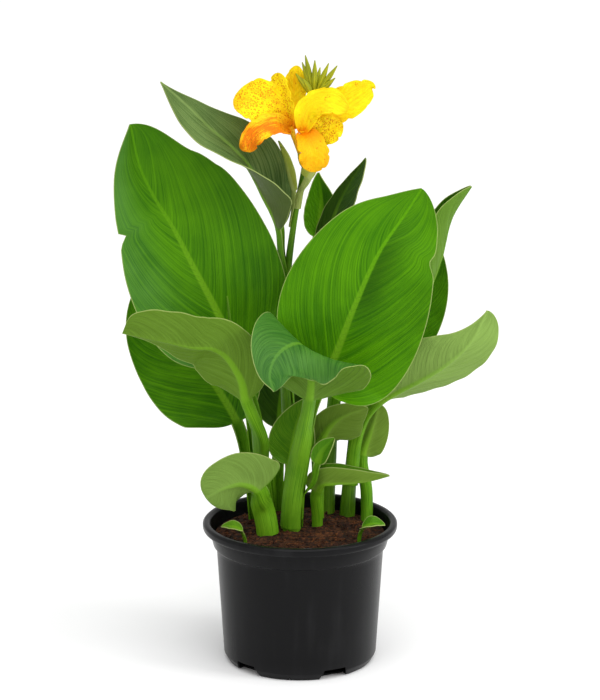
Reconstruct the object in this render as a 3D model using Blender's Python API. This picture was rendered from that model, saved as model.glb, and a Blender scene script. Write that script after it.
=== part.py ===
"""A canna lily in flower, standing in a black nursery pot. Metres, +Z up.

The origin is the centre of the pot's foot pad, on the ground. The front of the plant looks along -Y.
Sizes are given in millimetres and scaled by MM where a vertex is made.
"""

import math

import bmesh
import bpy
import numpy as np

MM = 0.001

# Driving dimensions of the pot, the 19 cm container that holds 3 litres
POT_HEIGHT = 140.0
RIM_RADIUS = 95.0
BASE_RADIUS = 75.0
WALL = 1.6
FLOOR_RISE = 7.0
PAD_RADIUS = 24.0
POT_SIDES = 48
FOOT_COUNT = 5
FOOT_NOTCH_HEIGHT = 10.0
FOOT_NOTCH_DEGREES = 23.0

# The soil, and how the stems stand in it
SOIL_TOP = 128.0
SOIL_FLOOR_GAP = 0.5
SOIL_SIDES = 32
ROOT_DEPTH = 18.0
GAP = 0.4

# Leaf blades
BLADE_EDGE = 0.9
SHEATH_RIB = 1.3
BLADE_STATIONS = 11
STALK_STATIONS = 4
ACROSS = 6

GREEN = (0.13, 0.36, 0.03)
PALE_GREEN = (0.27, 0.42, 0.13)
YELLOW = (0.95, 0.72, 0.02)


def unit(vector):
    """The vector at length 1."""
    vector = np.asarray(vector, float)
    return vector / np.linalg.norm(vector)


def smooth_line(points, steps=12):
    """A smooth curve through the points, as a dense list, and the place of each point in it."""
    points = np.asarray(points, float)
    spans = np.linalg.norm(np.diff(points, axis=0), axis=1)
    slopes = np.diff(points, axis=0) / spans[:, None]
    before, after = spans[:-1, None], spans[1:, None]
    inner = (slopes[:-1] * after + slopes[1:] * before) / (before + after)
    tangents = np.vstack([slopes[:1], inner, slopes[-1:]])
    line = []
    for i, span in enumerate(spans):
        for t in np.arange(steps) / steps:
            line.append(
                (2 * t**3 - 3 * t**2 + 1) * points[i]
                + (t**3 - 2 * t**2 + t) * span * tangents[i]
                + (3 * t**2 - 2 * t**3) * points[i + 1]
                + (t**3 - t**2) * span * tangents[i + 1]
            )
    line.append(points[-1])
    return np.array(line), np.arange(len(points)) * steps


class Path:
    """A smooth centre line that is read by its share of length."""

    def __init__(self, points):
        self.line, self.knots = smooth_line(points)
        lengths = np.linalg.norm(np.diff(self.line, axis=0), axis=1)
        self.along = np.concatenate([[0], np.cumsum(lengths)])
        self.length = self.along[-1]

    def at(self, distance):
        """The point at this distance from the start."""
        return np.array([np.interp(distance, self.along, self.line[:, k]) for k in range(3)])

    def direction(self, distance, reach=3.0):
        """The direction of travel there."""
        ahead = self.at(min(distance + reach, self.length))
        behind = self.at(max(distance - reach, 0))
        return unit(ahead - behind)


class Stem(Path):
    """A tapering stem that is read by its height."""

    def __init__(self, name, points, radii):
        super().__init__(points)
        self.name = name
        self.radii = radii

    def radius(self, distance):
        """The stem's radius at this distance from its root."""
        stops = np.linspace(0, self.length, len(self.radii))
        return float(np.interp(distance, stops, self.radii))

    def distance_at(self, height):
        """The distance along the stem at which it has this height."""
        return float(np.interp(height, self.line[:, 2], self.along))


class Leaf:
    """A leaf or petal: a stalk that may clasp a stem, then a blade, as one lofted sheet.

    rib holds the blade's midrib, from its base to its tip, and stalk the points before it.
    faces are the directions that the upper side looks in, at the blade's base, middle and tip.
    widths are the greatest half widths to the left and right of the rib, seen from the upper side
    with the tip upwards. folds are pairs of angles for each half, at its base and at its tip:
    the angle at which it leaves the rib, and the angle at its margin. widest is where along the blade
    it is widest and tip_power how soft its tip is, both for the left and the right half.
    """

    def __init__(
        self,
        name,
        rib,
        faces,
        widths,
        folds=((5, 20), (5, 20)),
        tip_folds=None,
        stalk=(),
        stem=None,
        heights=None,
        side=None,
        clasp=100.0,
        stalk_width=6.0,
        stalk_curl=70.0,
        rib_size=(4.0, 1.2),
        widest=(0.42, 0.42),
        tip_power=(0.85, 0.85),
        wave=(0.0, 2.0),
        edge=BLADE_EDGE,
        stations=BLADE_STATIONS,
        across=ACROSS,
        material="leaf",
    ):
        self.name = name
        self.widths = widths
        self.folds = np.radians(folds)
        self.tip_folds = self.folds if tip_folds is None else np.radians(tip_folds)
        self.clasp = math.radians(clasp)
        self.stalk_width = stalk_width
        self.stalk_curl = math.radians(stalk_curl)
        self.rib_size = rib_size
        self.widest = widest
        self.tip_power = tip_power
        self.wave = wave
        self.edge = edge
        self.stations = stations
        self.across = across
        self.material = material
        first = []
        start_face = faces[0]
        self.clasp_radius = 0.0
        if stem is not None:
            outward = np.array([math.cos(math.radians(side)), math.sin(math.radians(side)), 0.0])
            for height in np.linspace(heights[0], heights[1], 3):
                distance = stem.distance_at(height)
                radius = stem.radius(distance) * 1.06 + GAP
                self.clasp_radius = max(self.clasp_radius, radius)
                first.append(stem.at(distance) + outward * radius)
            start_face = -outward
        points = first + list(stalk) + list(rib)
        path = Path(points)
        self.path = path
        self.has_stalk = len(points) > len(rib)
        self.blade_start = path.along[path.knots[len(points) - len(rib)]]
        self.clasp_end = path.along[path.knots[len(first) - 1]] if first else 0.0
        blade = path.length - self.blade_start
        self.face_stops = [self.clasp_end, max(self.blade_start, 1e-6)]
        self.face_stops += [self.blade_start + blade * 0.5, path.length]
        self.face_list = np.array([unit(f) for f in (start_face, *faces)])
        self.rib_stops = [self.clasp_end, max(self.blade_start, 1e-6), path.length]
        self.rib_thickness = [SHEATH_RIB if first else rib_size[0], *rib_size]

    def frame(self, distance):
        """The point, the direction to the right, and the direction of the upper side."""
        facing = np.array(
            [np.interp(distance, self.face_stops, self.face_list[:, k]) for k in range(3)]
        )
        along = self.path.direction(distance)
        facing = unit(facing - along * (facing @ along))
        return self.path.at(distance), np.cross(along, facing), facing

    def share(self, distance):
        """How far along the blade this is, from 0 to 1, or below 0 on the stalk."""
        return (distance - self.blade_start) / (self.path.length - self.blade_start)

    def profile(self, u, half):
        """The blade's half width at share u, as a part of its greatest."""
        u = min(max(u, 0.0), 1.0)
        widest, tip = self.widest[half], self.tip_power[half]
        base = tip * widest / (1 - widest)
        return (u / widest) ** base * ((1 - u) / (1 - widest)) ** tip

    def section(self, distance, half):
        """Half width, the angle at the rib and the angle at the margin, of half 0 or 1."""
        u = self.share(distance)
        if u >= 0:
            width = self.stalk_width * (1 - u) ** 2 + self.widths[half] * self.profile(u, half) + 0.6
            fold = self.folds[half] * (1 - u) + self.tip_folds[half] * u
            ease = min(u / 0.12, 1.0)
            start = fold[0] * ease
            return width, start, self.stalk_curl * (1 - ease) + fold[1] * ease
        if distance <= self.clasp_end:
            return self.clasp_radius * self.clasp, 0.0, self.clasp
        t = (distance - self.clasp_end) / (self.blade_start - self.clasp_end)
        t = t * t * (3 - 2 * t)
        clasp_width = self.clasp_radius * self.clasp if self.clasp_end else self.stalk_width
        clasp_curl = self.clasp if self.clasp_end else self.stalk_curl
        width = clasp_width * (1 - t) + (self.stalk_width + 0.6) * t
        return width, 0.0, clasp_curl * (1 - t) + self.stalk_curl * t

    def point(self, distance, v, depth):
        """The point at v, from -1 at the left margin to 1 at the right, on the upper or lower face."""
        centre, right, facing = self.frame(distance)
        half = 1 if v >= 0 else 0
        sign = 1.0 if v >= 0 else -1.0
        q = abs(v)
        width, start, end = self.section(distance, half)
        turn = end - start
        angle = start + turn * q
        if abs(turn) < 1e-3:
            out, up = width * q * math.cos(start), width * q * math.sin(start)
        else:
            out = width * (math.sin(angle) - math.sin(start)) / turn
            up = width * (math.cos(start) - math.cos(angle)) / turn
        u = self.share(distance)
        if self.wave[0] and u > 0:
            swing = math.sin(2 * math.pi * self.wave[1] * u + 1.3 * half)
            up += self.wave[0] * swing * q**2 * self.profile(u, half)
        normal = facing * math.cos(angle) - sign * right * math.sin(angle)
        rib = float(np.interp(distance, self.rib_stops, self.rib_thickness))
        spread = max(rib, 2.0) * 1.1
        thick = self.edge + (rib - self.edge) * math.exp(-((q * width / spread) ** 2))
        return centre + sign * right * out + facing * up - normal * thick * depth

    def distances(self):
        """Where the loft's rings stand."""
        blade = self.path.length - self.blade_start
        shares = 0.5 - 0.5 * np.cos(np.pi * (np.arange(self.stations) + 1) / (self.stations + 0.6))
        shares = shares / shares[-1]
        places = [self.blade_start + blade * s for s in (0.0, *shares)]
        if self.has_stalk:
            count = STALK_STATIONS
            stalk = list(np.linspace(0, self.blade_start, count + 1)[:-1])
            places = stalk + places
        return np.array(places)

    def build(self, mesh):
        """Adds the leaf's closed solid to a bmesh: a grid and its lower copy, alike in their triangles."""
        places = self.distances()
        rows, columns = len(places), self.across + 1
        tag_row = mesh.verts.layers.int.get("row") or mesh.verts.layers.int.new("row")
        tag_column = mesh.verts.layers.int.get("column") or mesh.verts.layers.int.new("column")
        upper = bmesh.ops.create_grid(
            mesh, x_segments=columns - 1, y_segments=rows - 1, size=0.5
        )["verts"]
        for vert in upper:
            vert[tag_row] = round((vert.co.y + 0.5) * (rows - 1))
            vert[tag_column] = round((vert.co.x + 0.5) * (columns - 1))
        grid = list({face for vert in upper for face in vert.link_faces})
        bmesh.ops.triangulate(mesh, faces=grid, quad_method="FIXED")
        grid = list({face for vert in upper for face in vert.link_faces})
        copied = bmesh.ops.extrude_face_region(mesh, geom=grid, use_keep_orig=True)
        lower = [item for item in copied["geom"] if isinstance(item, bmesh.types.BMVert)]
        for depth, verts in ((0.0, upper), (1.0, lower)):
            for vert in verts:
                v = 2 * vert[tag_column] / (columns - 1) - 1
                vert.co = self.point(places[vert[tag_row]], v, depth) * MM


def new_material(name, colour, roughness, metallic=0.0):
    """A plain material."""
    material = bpy.data.materials.new(name)
    material.use_nodes = True
    shader = material.node_tree.nodes["Principled BSDF"]
    shader.inputs["Base Color"].default_value = (*colour, 1.0)
    shader.inputs["Roughness"].default_value = roughness
    shader.inputs["Metallic"].default_value = metallic
    return material


def new_object(name, mesh, material, merge=0.0):
    """An object from a bmesh, with its normals outward."""
    if merge:
        bmesh.ops.remove_doubles(mesh, verts=mesh.verts, dist=merge)
    bmesh.ops.recalc_face_normals(mesh, faces=mesh.faces)
    data = bpy.data.meshes.new(name)
    mesh.to_mesh(data)
    mesh.free()
    data.shade_smooth()
    data.set_sharp_from_angle(angle=math.radians(40))
    data.materials.append(material)
    obj = bpy.data.objects.new(name, data)
    bpy.context.scene.collection.objects.link(obj)
    return obj


def tube(mesh, path, radii, sides=10, rings=9):
    """A closed tube along a path, with its radius read from radii by the share of length."""
    previous = None
    for i in range(rings):
        distance = path.length * i / (rings - 1)
        along = path.direction(distance)
        across = unit(np.cross(along, (0.0, 1.0, 0.1)))
        up = np.cross(across, along)
        radius = float(np.interp(i / (rings - 1), np.linspace(0, 1, len(radii)), radii))
        ring = []
        for k in range(sides):
            angle = 2 * math.pi * k / sides
            spot = path.at(distance) + radius * (across * math.cos(angle) + up * math.sin(angle))
            ring.append(mesh.verts.new(spot * MM))
        if previous is None:
            mesh.faces.new(ring)
        else:
            for k in range(sides):
                n = (k + 1) % sides
                mesh.faces.new((previous[k], previous[n], ring[n], ring[k]))
        previous = ring
    mesh.faces.new(previous)


def turned(mesh, profile, sides):
    """A solid of revolution about +Z from a closed profile of (radius, height)."""
    verts = [mesh.verts.new((r * MM, 0, z * MM)) for r, z in profile]
    edges = [mesh.edges.new((a, b)) for a, b in zip(verts, verts[1:] + verts[:1])]
    bmesh.ops.spin(
        mesh,
        geom=verts + edges,
        cent=(0, 0, 0),
        axis=(0, 0, 1),
        angle=2 * math.pi,
        steps=sides,
        use_merge=True,
    )
    bmesh.ops.remove_doubles(mesh, verts=mesh.verts, dist=0.00001)


def combine(target, others, operation):
    """Joins the others to the target, or cuts them from it, and removes them."""
    group = bpy.data.collections.new("group")
    for other in others:
        group.objects.link(other)
    modifier = target.modifiers.new("combine", "BOOLEAN")
    modifier.operation = operation
    modifier.operand_type = "COLLECTION"
    modifier.collection = group
    modifier.solver = "EXACT"
    if operation == "UNION":
        modifier.solver = "MANIFOLD"
    graph = bpy.context.evaluated_depsgraph_get()
    result = bpy.data.meshes.new_from_object(target.evaluated_get(graph))
    target.modifiers.clear()
    target.data = result
    for other in others:
        bpy.data.objects.remove(other)
    bpy.data.collections.remove(group)


def make_pot(material):
    """The pot: rolled rim, collar, tapered wall, dished floor and notched foot."""
    mesh = bmesh.new()
    top, rim = POT_HEIGHT, RIM_RADIUS
    outside = [
        (0.0, 0.0),
        (PAD_RADIUS, 0.0),
        (PAD_RADIUS + 3.0, FLOOR_RISE),
        (46.0, FLOOR_RISE),
        (50.0, 0.0),
        (BASE_RADIUS - 4.0, 0.0),
        (BASE_RADIUS, 7.0),
        (81.5, 111.0),
        (82.0, 114.5),
        (84.8, 116.5),
        (87.2, 126.0),
        (88.0, 131.0),
        (rim - 1.0, 132.0),
        (rim, 134.0),
        (rim, top - 2.0),
        (rim - 2.0, top),
    ]
    inside = [
        (rim - 5.5, top),
        (rim - 7.5, top - 2.0),
        (86.0, 129.0),
        (82.8, 118.0),
        (80.2, 114.5),
        (79.8, 111.0),
        (BASE_RADIUS - WALL, 8.0),
        (BASE_RADIUS - 5.0, WALL),
        (51.0, WALL),
        (47.0, FLOOR_RISE + WALL),
        (PAD_RADIUS + 2.0, FLOOR_RISE + WALL),
        (PAD_RADIUS - 1.0, WALL),
        (0.0, WALL),
    ]
    turned(mesh, outside + inside, POT_SIDES)
    pot = new_object("pot", mesh, material)
    cutters = []
    for k in range(FOOT_COUNT):
        angle = math.radians(-135 + 360 / FOOT_COUNT * k)
        cutters.append(notch_cutter(angle, material))
    combine(pot, cutters, "DIFFERENCE")
    pot.data.shade_smooth()
    pot.data.set_sharp_from_angle(angle=math.radians(35))
    return pot


def notch_cutter(angle, material):
    """A block with sloping ends that opens one drain notch in the foot."""
    mesh = bmesh.new()
    half = math.tan(math.radians(FOOT_NOTCH_DEGREES / 2)) * BASE_RADIUS
    lean = 4.0
    made = bmesh.ops.create_cube(mesh, size=1.0)["verts"]
    for vert in made:
        low = vert.co.z < 0
        width = half if low else half - lean
        vert.co.x = (BASE_RADIUS - 13.0 + (vert.co.x + 0.5) * 24.0) * MM
        vert.co.y = (width if vert.co.y > 0 else -width) * MM
        vert.co.z = (-3.0 if low else FOOT_NOTCH_HEIGHT) * MM
    cutter = new_object("notch", mesh, material)
    cutter.rotation_euler.z = angle
    return cutter


def make_soil(material, holes):
    """The soil: a low mound with a rough top, with a plain hole for each stem."""
    mesh = bmesh.new()
    bottom = FLOOR_RISE + WALL + SOIL_FLOOR_GAP
    rings = [0.25, 0.5, 0.72, 0.88, 1.0]
    generator = np.random.default_rng(4)
    top_radius = 83.0
    centre = mesh.verts.new((0, 0, (SOIL_TOP + 2.0) * MM))
    previous = None
    for share in rings:
        ring = []
        for k in range(SOIL_SIDES):
            angle = 2 * math.pi * k / SOIL_SIDES
            rough = generator.uniform(-1.2, 1.2) if share < 1 else 0.0
            height = SOIL_TOP + 2.0 * (1 - share**2) + rough - (2.0 if share == 1 else 0.0)
            radius = top_radius * share
            spot = (radius * math.cos(angle), radius * math.sin(angle), height)
            ring.append(mesh.verts.new(np.array(spot) * MM))
        for k in range(SOIL_SIDES):
            n = (k + 1) % SOIL_SIDES
            if previous is None:
                mesh.faces.new((centre, ring[k], ring[n]))
            else:
                mesh.faces.new((previous[k], ring[k], ring[n]))
                mesh.faces.new((previous[k], ring[n], previous[n]))
        previous = ring
    for radius, height in ((81.6, 118.0), (79.2, 114.0), (78.8, 110.0), (72.5, bottom)):
        ring = []
        for k in range(SOIL_SIDES):
            angle = 2 * math.pi * k / SOIL_SIDES
            spot = (radius * math.cos(angle), radius * math.sin(angle), height)
            ring.append(mesh.verts.new(np.array(spot) * MM))
        for k in range(SOIL_SIDES):
            n = (k + 1) % SOIL_SIDES
            mesh.faces.new((previous[k], ring[k], ring[n], previous[n]))
        previous = ring
    mesh.faces.new(previous)
    soil = new_object("soil", mesh, material)
    combine(soil, holes, "DIFFERENCE")
    return soil


def soil_hole(path, radius, material):
    """A cutter for the plain hole that a stem or a stalk stands in."""
    foot = path.at(0)
    along = path.direction(0, reach=12.0)
    route = Path([foot - along * (GAP + 0.6), foot + along * (SOIL_TOP + 8.0 - foot[2])])
    mesh = bmesh.new()
    tube(mesh, route, (radius, radius), sides=12, rings=2)
    return new_object("hole", mesh, material)


def petal(rib, face, widths, tip_power=0.6):
    """A petal as a sheet with no stalk."""
    return Leaf(
        "petal",
        rib,
        [face] * 3,
        widths,
        folds=((20, 40), (20, 40)),
        tip_folds=((5, 0), (5, 0)),
        rib_size=(1.5, 1.0),
        widest=(0.6, 0.6),
        tip_power=(tip_power, tip_power),
        wave=(2.5, 1.5),
        stalk_width=3.0,
        stations=7,
        across=4,
    )


def make_bloom(name, route, petals, material):
    """A bloom: its floral tube with the petals fused to it."""
    mesh = bmesh.new()
    tube(mesh, Path(route), (1.6, 2.2, 3.4), sides=8, rings=5)
    bloom = new_object(name, mesh, material)
    sheets = []
    for sheet in petals:
        mesh = bmesh.new()
        sheet.build(mesh)
        sheets.append(new_object("petal", mesh, material))
    combine(bloom, sheets, "UNION")
    return bloom


def make_buds(material):
    """The cluster of slender buds at the top, fused where they meet."""
    base = np.array(BUD_BASE)
    mesh = bmesh.new()
    tube(mesh, Path([base, base + (0.5, 0, 5.0)]), (1.8, 2.2, 1.6), sides=8, rings=4)
    buds = new_object("buds", mesh, material)
    spindles = []
    for tip in BUD_TIPS:
        tip = np.array(tip, float)
        middle = base + (0.3, 0, 2.5) + (tip - base) * 0.45
        mesh = bmesh.new()
        tube(mesh, Path([base + (0, 0, 2.0), middle, tip]), (1.1, 1.8, 3.0, 2.3, 0.6), sides=6, rings=5)
        spindles.append(new_object("bud", mesh, material))
    combine(buds, spindles, "UNION")
    return buds


# Stems: where they stand in the soil, and where they lean. Radii run from root to top.
ROOT = SOIL_TOP - ROOT_DEPTH
STEMS = [
    Stem(
        "stem_flowering",
        [(-2, 50, ROOT), (-8, 46, 180), (-14, 36, 280), (-13, 26, 370), (-6, 18, 430), (3, 14, 482),
         (9, 12, 520), (13, 10, 548)],
        (8.0, 7.0, 6.0, 5.0, 4.0, 3.0, 2.2, 1.8),
    ),
    Stem(
        "stem_left",
        [(-32, 28, ROOT), (-36, 24, 160), (-41, 17, 205), (-45, 2, 240), (-54, -14, 285), (-64, -20, 325),
         (-69, -24, 369)],
        (9.0, 8.0, 5.5, 3.2, 2.8, 2.2, 0.8),
    ),
    Stem("stem_front", [(-10, 6, ROOT), (-6, -4, 170), (1, -14, 215)], (10.5, 8.8, 4)),
    Stem("stem_right", [(46, 52, ROOT), (50, 54, 170), (55, 56, 212)], (8, 7, 4)),
    Stem("stem_back", [(26, 60, ROOT), (30, 70, 190), (36, 80, 258)], (8, 7, 4)),
    Stem("stem_small", [(-31, -12, ROOT), (-33, -15, 145), (-36, -18, 162)], (11, 9, 4)),
]
STEM = {stem.name: stem for stem in STEMS}

LEAVES = [
    Leaf(
        "leaf_left_great",
        stem=STEM["stem_left"],
        heights=(134, 188),
        side=70,
        clasp=70,
        stalk=[(-48, 15, 255)],
        rib=[
            (-60, 8, 300), (-78, 4, 344), (-102, 0, 393), (-123, 2, 434), (-138, 5, 458), (-150, 6, 483),
            (-160, 2, 529),
        ],
        faces=[(0.25, -1, 0.1), (0.15, -1, 0.1), (0.1, -1, 0.25)],
        widths=(67, 77),
        folds=((4, 14), (4, 12)),
        widest=(0.32, 0.42),
        tip_power=(1.0, 0.55),
        wave=(3.0, 1.6),
    ),
    Leaf(
        "leaf_right_great",
        stem=STEM["stem_front"],
        heights=(134, 200),
        side=72,
        clasp=72,
        stalk=[(10, -2, 250)],
        rib=[(19, 0, 272), (34, -6, 307), (53, -8, 358), (78, -4, 412), (102, 6, 445), (116, 12, 466)],
        faces=[(-0.1, -1, 0.15), (-0.1, -1, 0.15), (0.0, -1, 0.35)],
        widths=(69, 70),
        folds=((6, 18), (4, 16)),
        widest=(0.42, 0.38),
        tip_power=(0.95, 0.62),
        wave=(3.0, 1.7),
    ),
    Leaf(
        "leaf_left_arched",
        stem=STEM["stem_left"],
        heights=(134, 185),
        side=-80,
        clasp=54,
        stalk=[(-39, -20, 232), (-46, -28, 252)],
        rib=[
            (-52, -34, 270), (-55, -38, 288), (-63, -46, 307), (-73, -54, 321), (-84, -61, 328),
            (-97, -68, 330), (-127, -82, 340), (-164, -92, 350),
        ],
        faces=[(0.1, 1, 0.3), (0.0, 0.85, 0.55), (0.0, 0.7, 0.6)],
        widths=(34, 33),
        folds=((5, 25), (5, 10)),
        widest=(0.7, 0.3),
        tip_power=(0.2, 1.8),
    ),
    Leaf(
        "leaf_front_folded",
        stem=STEM["stem_front"],
        heights=(133, 195),
        side=-100,
        clasp=58,
        stalk=[(4, -38, 240)],
        rib=[
            (9, -46, 273), (11, -48, 298), (9, -50, 318), (1, -58, 331), (-12, -70, 331), (-24, -84, 322),
            (-28, -93, 309), (-24, -98, 295),
        ],
        faces=[(0, 1, 0.2), (0.6, 0.1, 1), (-0.1, -0.8, 0.5)],
        widths=(60, 52),
        folds=((5, 10), (5, 10)),
        tip_folds=((-8, -14), (8, 16)),
        widest=(0.4, 0.34),
        tip_power=(0.7, 1.3),
        stations=13,
    ),
    Leaf(
        "leaf_top_left",
        stem=STEM["stem_flowering"],
        heights=(310, 375),
        side=190,
        clasp=85,
        stalk=[(-19, 17, 405)],
        rib=[
            (-20, 13, 428), (-33, 9, 457), (-51, 3, 492), (-68, 0, 511), (-84, 0, 525), (-105, 2, 546),
            (-131, 5, 569),
        ],
        faces=[(0.9, -0.3, 0.2), (0.5, -0.6, 0.45), (0.3, -0.8, 0.4)],
        widths=(45, 34),
        folds=((60, 100), (20, 50)),
        tip_folds=((-5, 0), (8, 20)),
        widest=(0.4, 0.32),
        tip_power=(1.2, 1.6),
    ),
    Leaf(
        "leaf_top_back",
        stem=STEM["stem_flowering"],
        heights=(235, 280),
        side=45,
        clasp=80,
        stalk=[(-2, 58, 305), (12, 74, 350)],
        rib=[(19, 84, 405), (20, 86, 420), (21, 88, 440), (18, 88, 468)],
        faces=[(-0.2, -1, 0.1), (-0.2, -1, 0.1), (-0.2, -1, 0.1)],
        widths=(14, 17),
        folds=((10, 30), (10, 30)),
        widest=(0.42, 0.35),
        tip_power=(0.85, 1.3),
    ),
    Leaf(
        "leaf_back_dark",
        stem=STEM["stem_back"],
        heights=(205, 245),
        side=-120,
        clasp=60,
        stalk=[(26, 62, 310)],
        rib=[(24, 58, 350), (26, 58, 390), (33, 58, 430), (46, 55, 460), (63, 50, 489)],
        faces=[(-0.5, -0.8, 0.1), (-0.6, -0.8, 0.1), (-0.7, -0.6, 0.2)],
        widths=(12, 25),
        folds=((10, 30), (8, 38)),
        widest=(0.4, 0.65),
        tip_power=(1.3, 0.6),
    ),
    Leaf(
        "leaf_right_rolled",
        stem=STEM["stem_back"],
        heights=(200, 240),
        side=20,
        clasp=50,
        stalk=[(62, 74, 285)],
        rib=[(88, 66, 310), (116, 60, 340), (136, 58, 386), (148, 58, 431), (166, 58, 460)],
        faces=[(-0.6, -0.5, 0.5), (-0.7, -0.4, 0.4), (-0.8, -0.3, 0.3)],
        widths=(26, 30),
        folds=((30, 90), (40, 110)),
        widest=(0.5, 0.5),
    ),
    Leaf(
        "leaf_right_back",
        stem=STEM["stem_right"],
        heights=(170, 215),
        side=80,
        clasp=54,
        stalk=[(68, 72, 250)],
        rib=[(86, 88, 273), (109, 102, 311), (126, 110, 350), (137, 112, 394)],
        faces=[(-0.1, -1, 0.1), (-0.1, -1, 0.1), (-0.1, -1, 0.1)],
        widths=(30, 27),
        folds=((5, 15), (5, 15)),
    ),
    Leaf(
        "leaf_right_low",
        stem=STEM["stem_right"],
        heights=(160, 200),
        side=-60,
        clasp=60,
        stalk=[(66, 42, 232)],
        rib=[(78, 33, 250), (94, 26, 262), (116, 14, 277), (138, 2, 294), (163, -12, 322), (178, -18, 354)],
        faces=[(-0.3, 0.85, 0.5), (-0.2, 0.9, 0.4), (-0.3, 0.9, 0.1)],
        widths=(34, 44),
        folds=((8, 20), (8, 20)),
        widest=(0.62, 0.38),
        tip_power=(0.6, 1.6),
    ),
    Leaf(
        "leaf_left_low",
        stalk=[(-44, 40, 112), (-50, 37, 175)],
        rib=[(-62, 38, 228), (-77, 50, 252), (-102, 64, 284), (-132, 76, 321), (-155, 82, 363)],
        faces=[(0.15, -1, 0.1), (0.1, -1, 0.1), (0.1, -1, 0.1)],
        widths=(57, 46),
        folds=((5, 18), (5, 15)),
        widest=(0.4, 0.4),
        tip_power=(0.65, 0.65),
    ),
    Leaf(
        "leaf_paddle",
        stem=STEM["stem_small"],
        heights=(131, 155),
        side=-70,
        clasp=85,
        stalk_width=9.0,
        stalk=[(-37, -31, 167)],
        rib=[(-41, -37, 181), (-56, -42, 189), (-73, -46, 186), (-90, -46, 176)],
        faces=[(0.3, 0.95, 0.2), (0.1, 0.95, 0.3), (0, 0.95, 0.2)],
        widths=(29, 31),
        folds=((5, 15), (5, 20)),
        widest=(0.26, 0.5),
        tip_power=(0.35, 0.4),
        stations=8,
    ),
    Leaf(
        "leaf_centre_left",
        stalk=[(-12, 30, 112), (-12, 29, 150)],
        rib=[(-8, 26, 190), (-5, 22, 220), (3, 16, 257)],
        faces=[(0.1, -1, 0.1), (0.1, -1, 0.2), (0.1, -1, 0.3)],
        widths=(24, 18),
        folds=((8, 25), (8, 25)),
        stations=8,
    ),
    Leaf(
        "leaf_centre_back",
        stalk=[(-22, 66, 112), (-22, 68, 180)],
        rib=[(-20, 70, 215), (-18, 72, 250), (-12, 72, 300)],
        faces=[(0, -1, 0.1), (0, -1, 0.1), (0, -1, 0.1)],
        widths=(24, 24),
        folds=((5, 15), (5, 15)),
        stations=8,
    ),
    Leaf(
        "leaf_centre_right",
        stalk=[(18, 34, 112), (18, 36, 165)],
        rib=[(20, 31, 210), (33, 22, 233), (49, 16, 244), (66, 12, 250)],
        faces=[(0, 0.9, 0.4), (0, 0.9, 0.4), (0, 0.9, 0.4)],
        widths=(33, 14),
        folds=((5, 20), (5, 20)),
        stations=8,
    ),
    Leaf(
        "leaf_right_round",
        stalk=[(66, 24, 112), (66, 44, 155)],
        rib=[(62, 68, 185), (70, 70, 209), (79, 70, 238)],
        faces=[(0, 1, 0.1), (0, 1, 0.1), (0, 1, 0.1)],
        widths=(17, 14),
        tip_power=(0.5, 0.5),
        stations=8,
    ),
    Leaf(
        "leaf_small_pointed",
        stalk=[(18, 12, 112), (18, 8, 145)],
        rib=[(18, 0, 170), (24, -7, 178), (34, -8, 179), (52, -8, 180), (70, -6, 182), (87, -4, 186)],
        faces=[(-0.3, 0.2, 1), (0, 0.2, 1), (0, 0.2, 1)],
        widths=(17, 15),
        folds=((55, 90), (50, 80)),
        stations=8,
        widest=(0.32, 0.32),
    ),
    Leaf(
        "leaf_small_upright",
        stem=STEM["stem_front"],
        heights=(142, 165),
        side=-20,
        clasp=8,
        stalk=[(14, -17, 185)],
        rib=[(17, -17, 202), (21, -16, 213), (33, -15, 227)],
        faces=[(-0.3, -1, 0.1), (-0.5, -1, 0.1), (-0.6, -1, 0.4)],
        widths=(8, 8),
        stalk_width=3.0,
        folds=((10, 40), (10, 40)),
        rib_size=(2.0, 1.0),
        stations=6,
        across=4,
    ),
    Leaf(
        "leaf_ground_right",
        stalk=[(58, -34, 116), (58, -36, 136)],
        rib=[(60, -38, 142), (70, -40, 148), (82, -38, 147)],
        faces=[(-0.2, 0, 1), (0, -0.3, 1), (0.3, -0.2, 1)],
        widths=(9, 8),
        stalk_width=2.0,
        folds=((10, 40), (10, 40)),
        rib_size=(1.6, 1.0),
        stations=6,
        across=4,
    ),
    Leaf(
        "leaf_ground_left",
        stalk=[(-52, -34, 116), (-54, -36, 134)],
        rib=[(-56, -37, 139), (-66, -36, 144), (-76, -30, 143)],
        faces=[(0.2, 0, 1), (0, -0.3, 1), (-0.3, -0.2, 1)],
        widths=(6, 7),
        stalk_width=2.0,
        folds=((10, 40), (10, 40)),
        rib_size=(1.6, 1.0),
        stations=6,
        across=4,
    ),
    Leaf(
        "bract_left",
        stem=STEM["stem_flowering"],
        heights=(428, 440),
        side=165,
        clasp=50,
        stalk_width=3.0,
        stalk=[(-7, 11, 455)],
        rib=[(-7, 5, 466), (-9, 3, 474), (-13, 1, 493), (-20, 0, 514)],
        faces=[(0.8, 0.5, 0.2), (0.8, 0.5, 0.2), (0.8, 0.5, 0.3)],
        widths=(6, 6),
        folds=((10, 50), (10, 50)),
        rib_size=(1.4, 1.0),
        stations=6,
        across=4,
        material="bract",
    ),
    Leaf(
        "bract",
        stem=STEM["stem_flowering"],
        heights=(446, 462),
        side=-50,
        clasp=80,
        stalk_width=4.0,
        stalk=[(6, 5, 471)],
        rib=[(9, 3, 477), (13, 0, 488), (18, -4, 497)],
        faces=[(-0.6, 0.8, 0.2), (-0.6, 0.8, 0.2), (-0.6, 0.8, 0.3)],
        widths=(8, 8),
        folds=((10, 50), (10, 50)),
        rib_size=(1.4, 1.0),
        stations=6,
        across=4,
        material="bract",
    ),
]

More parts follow.
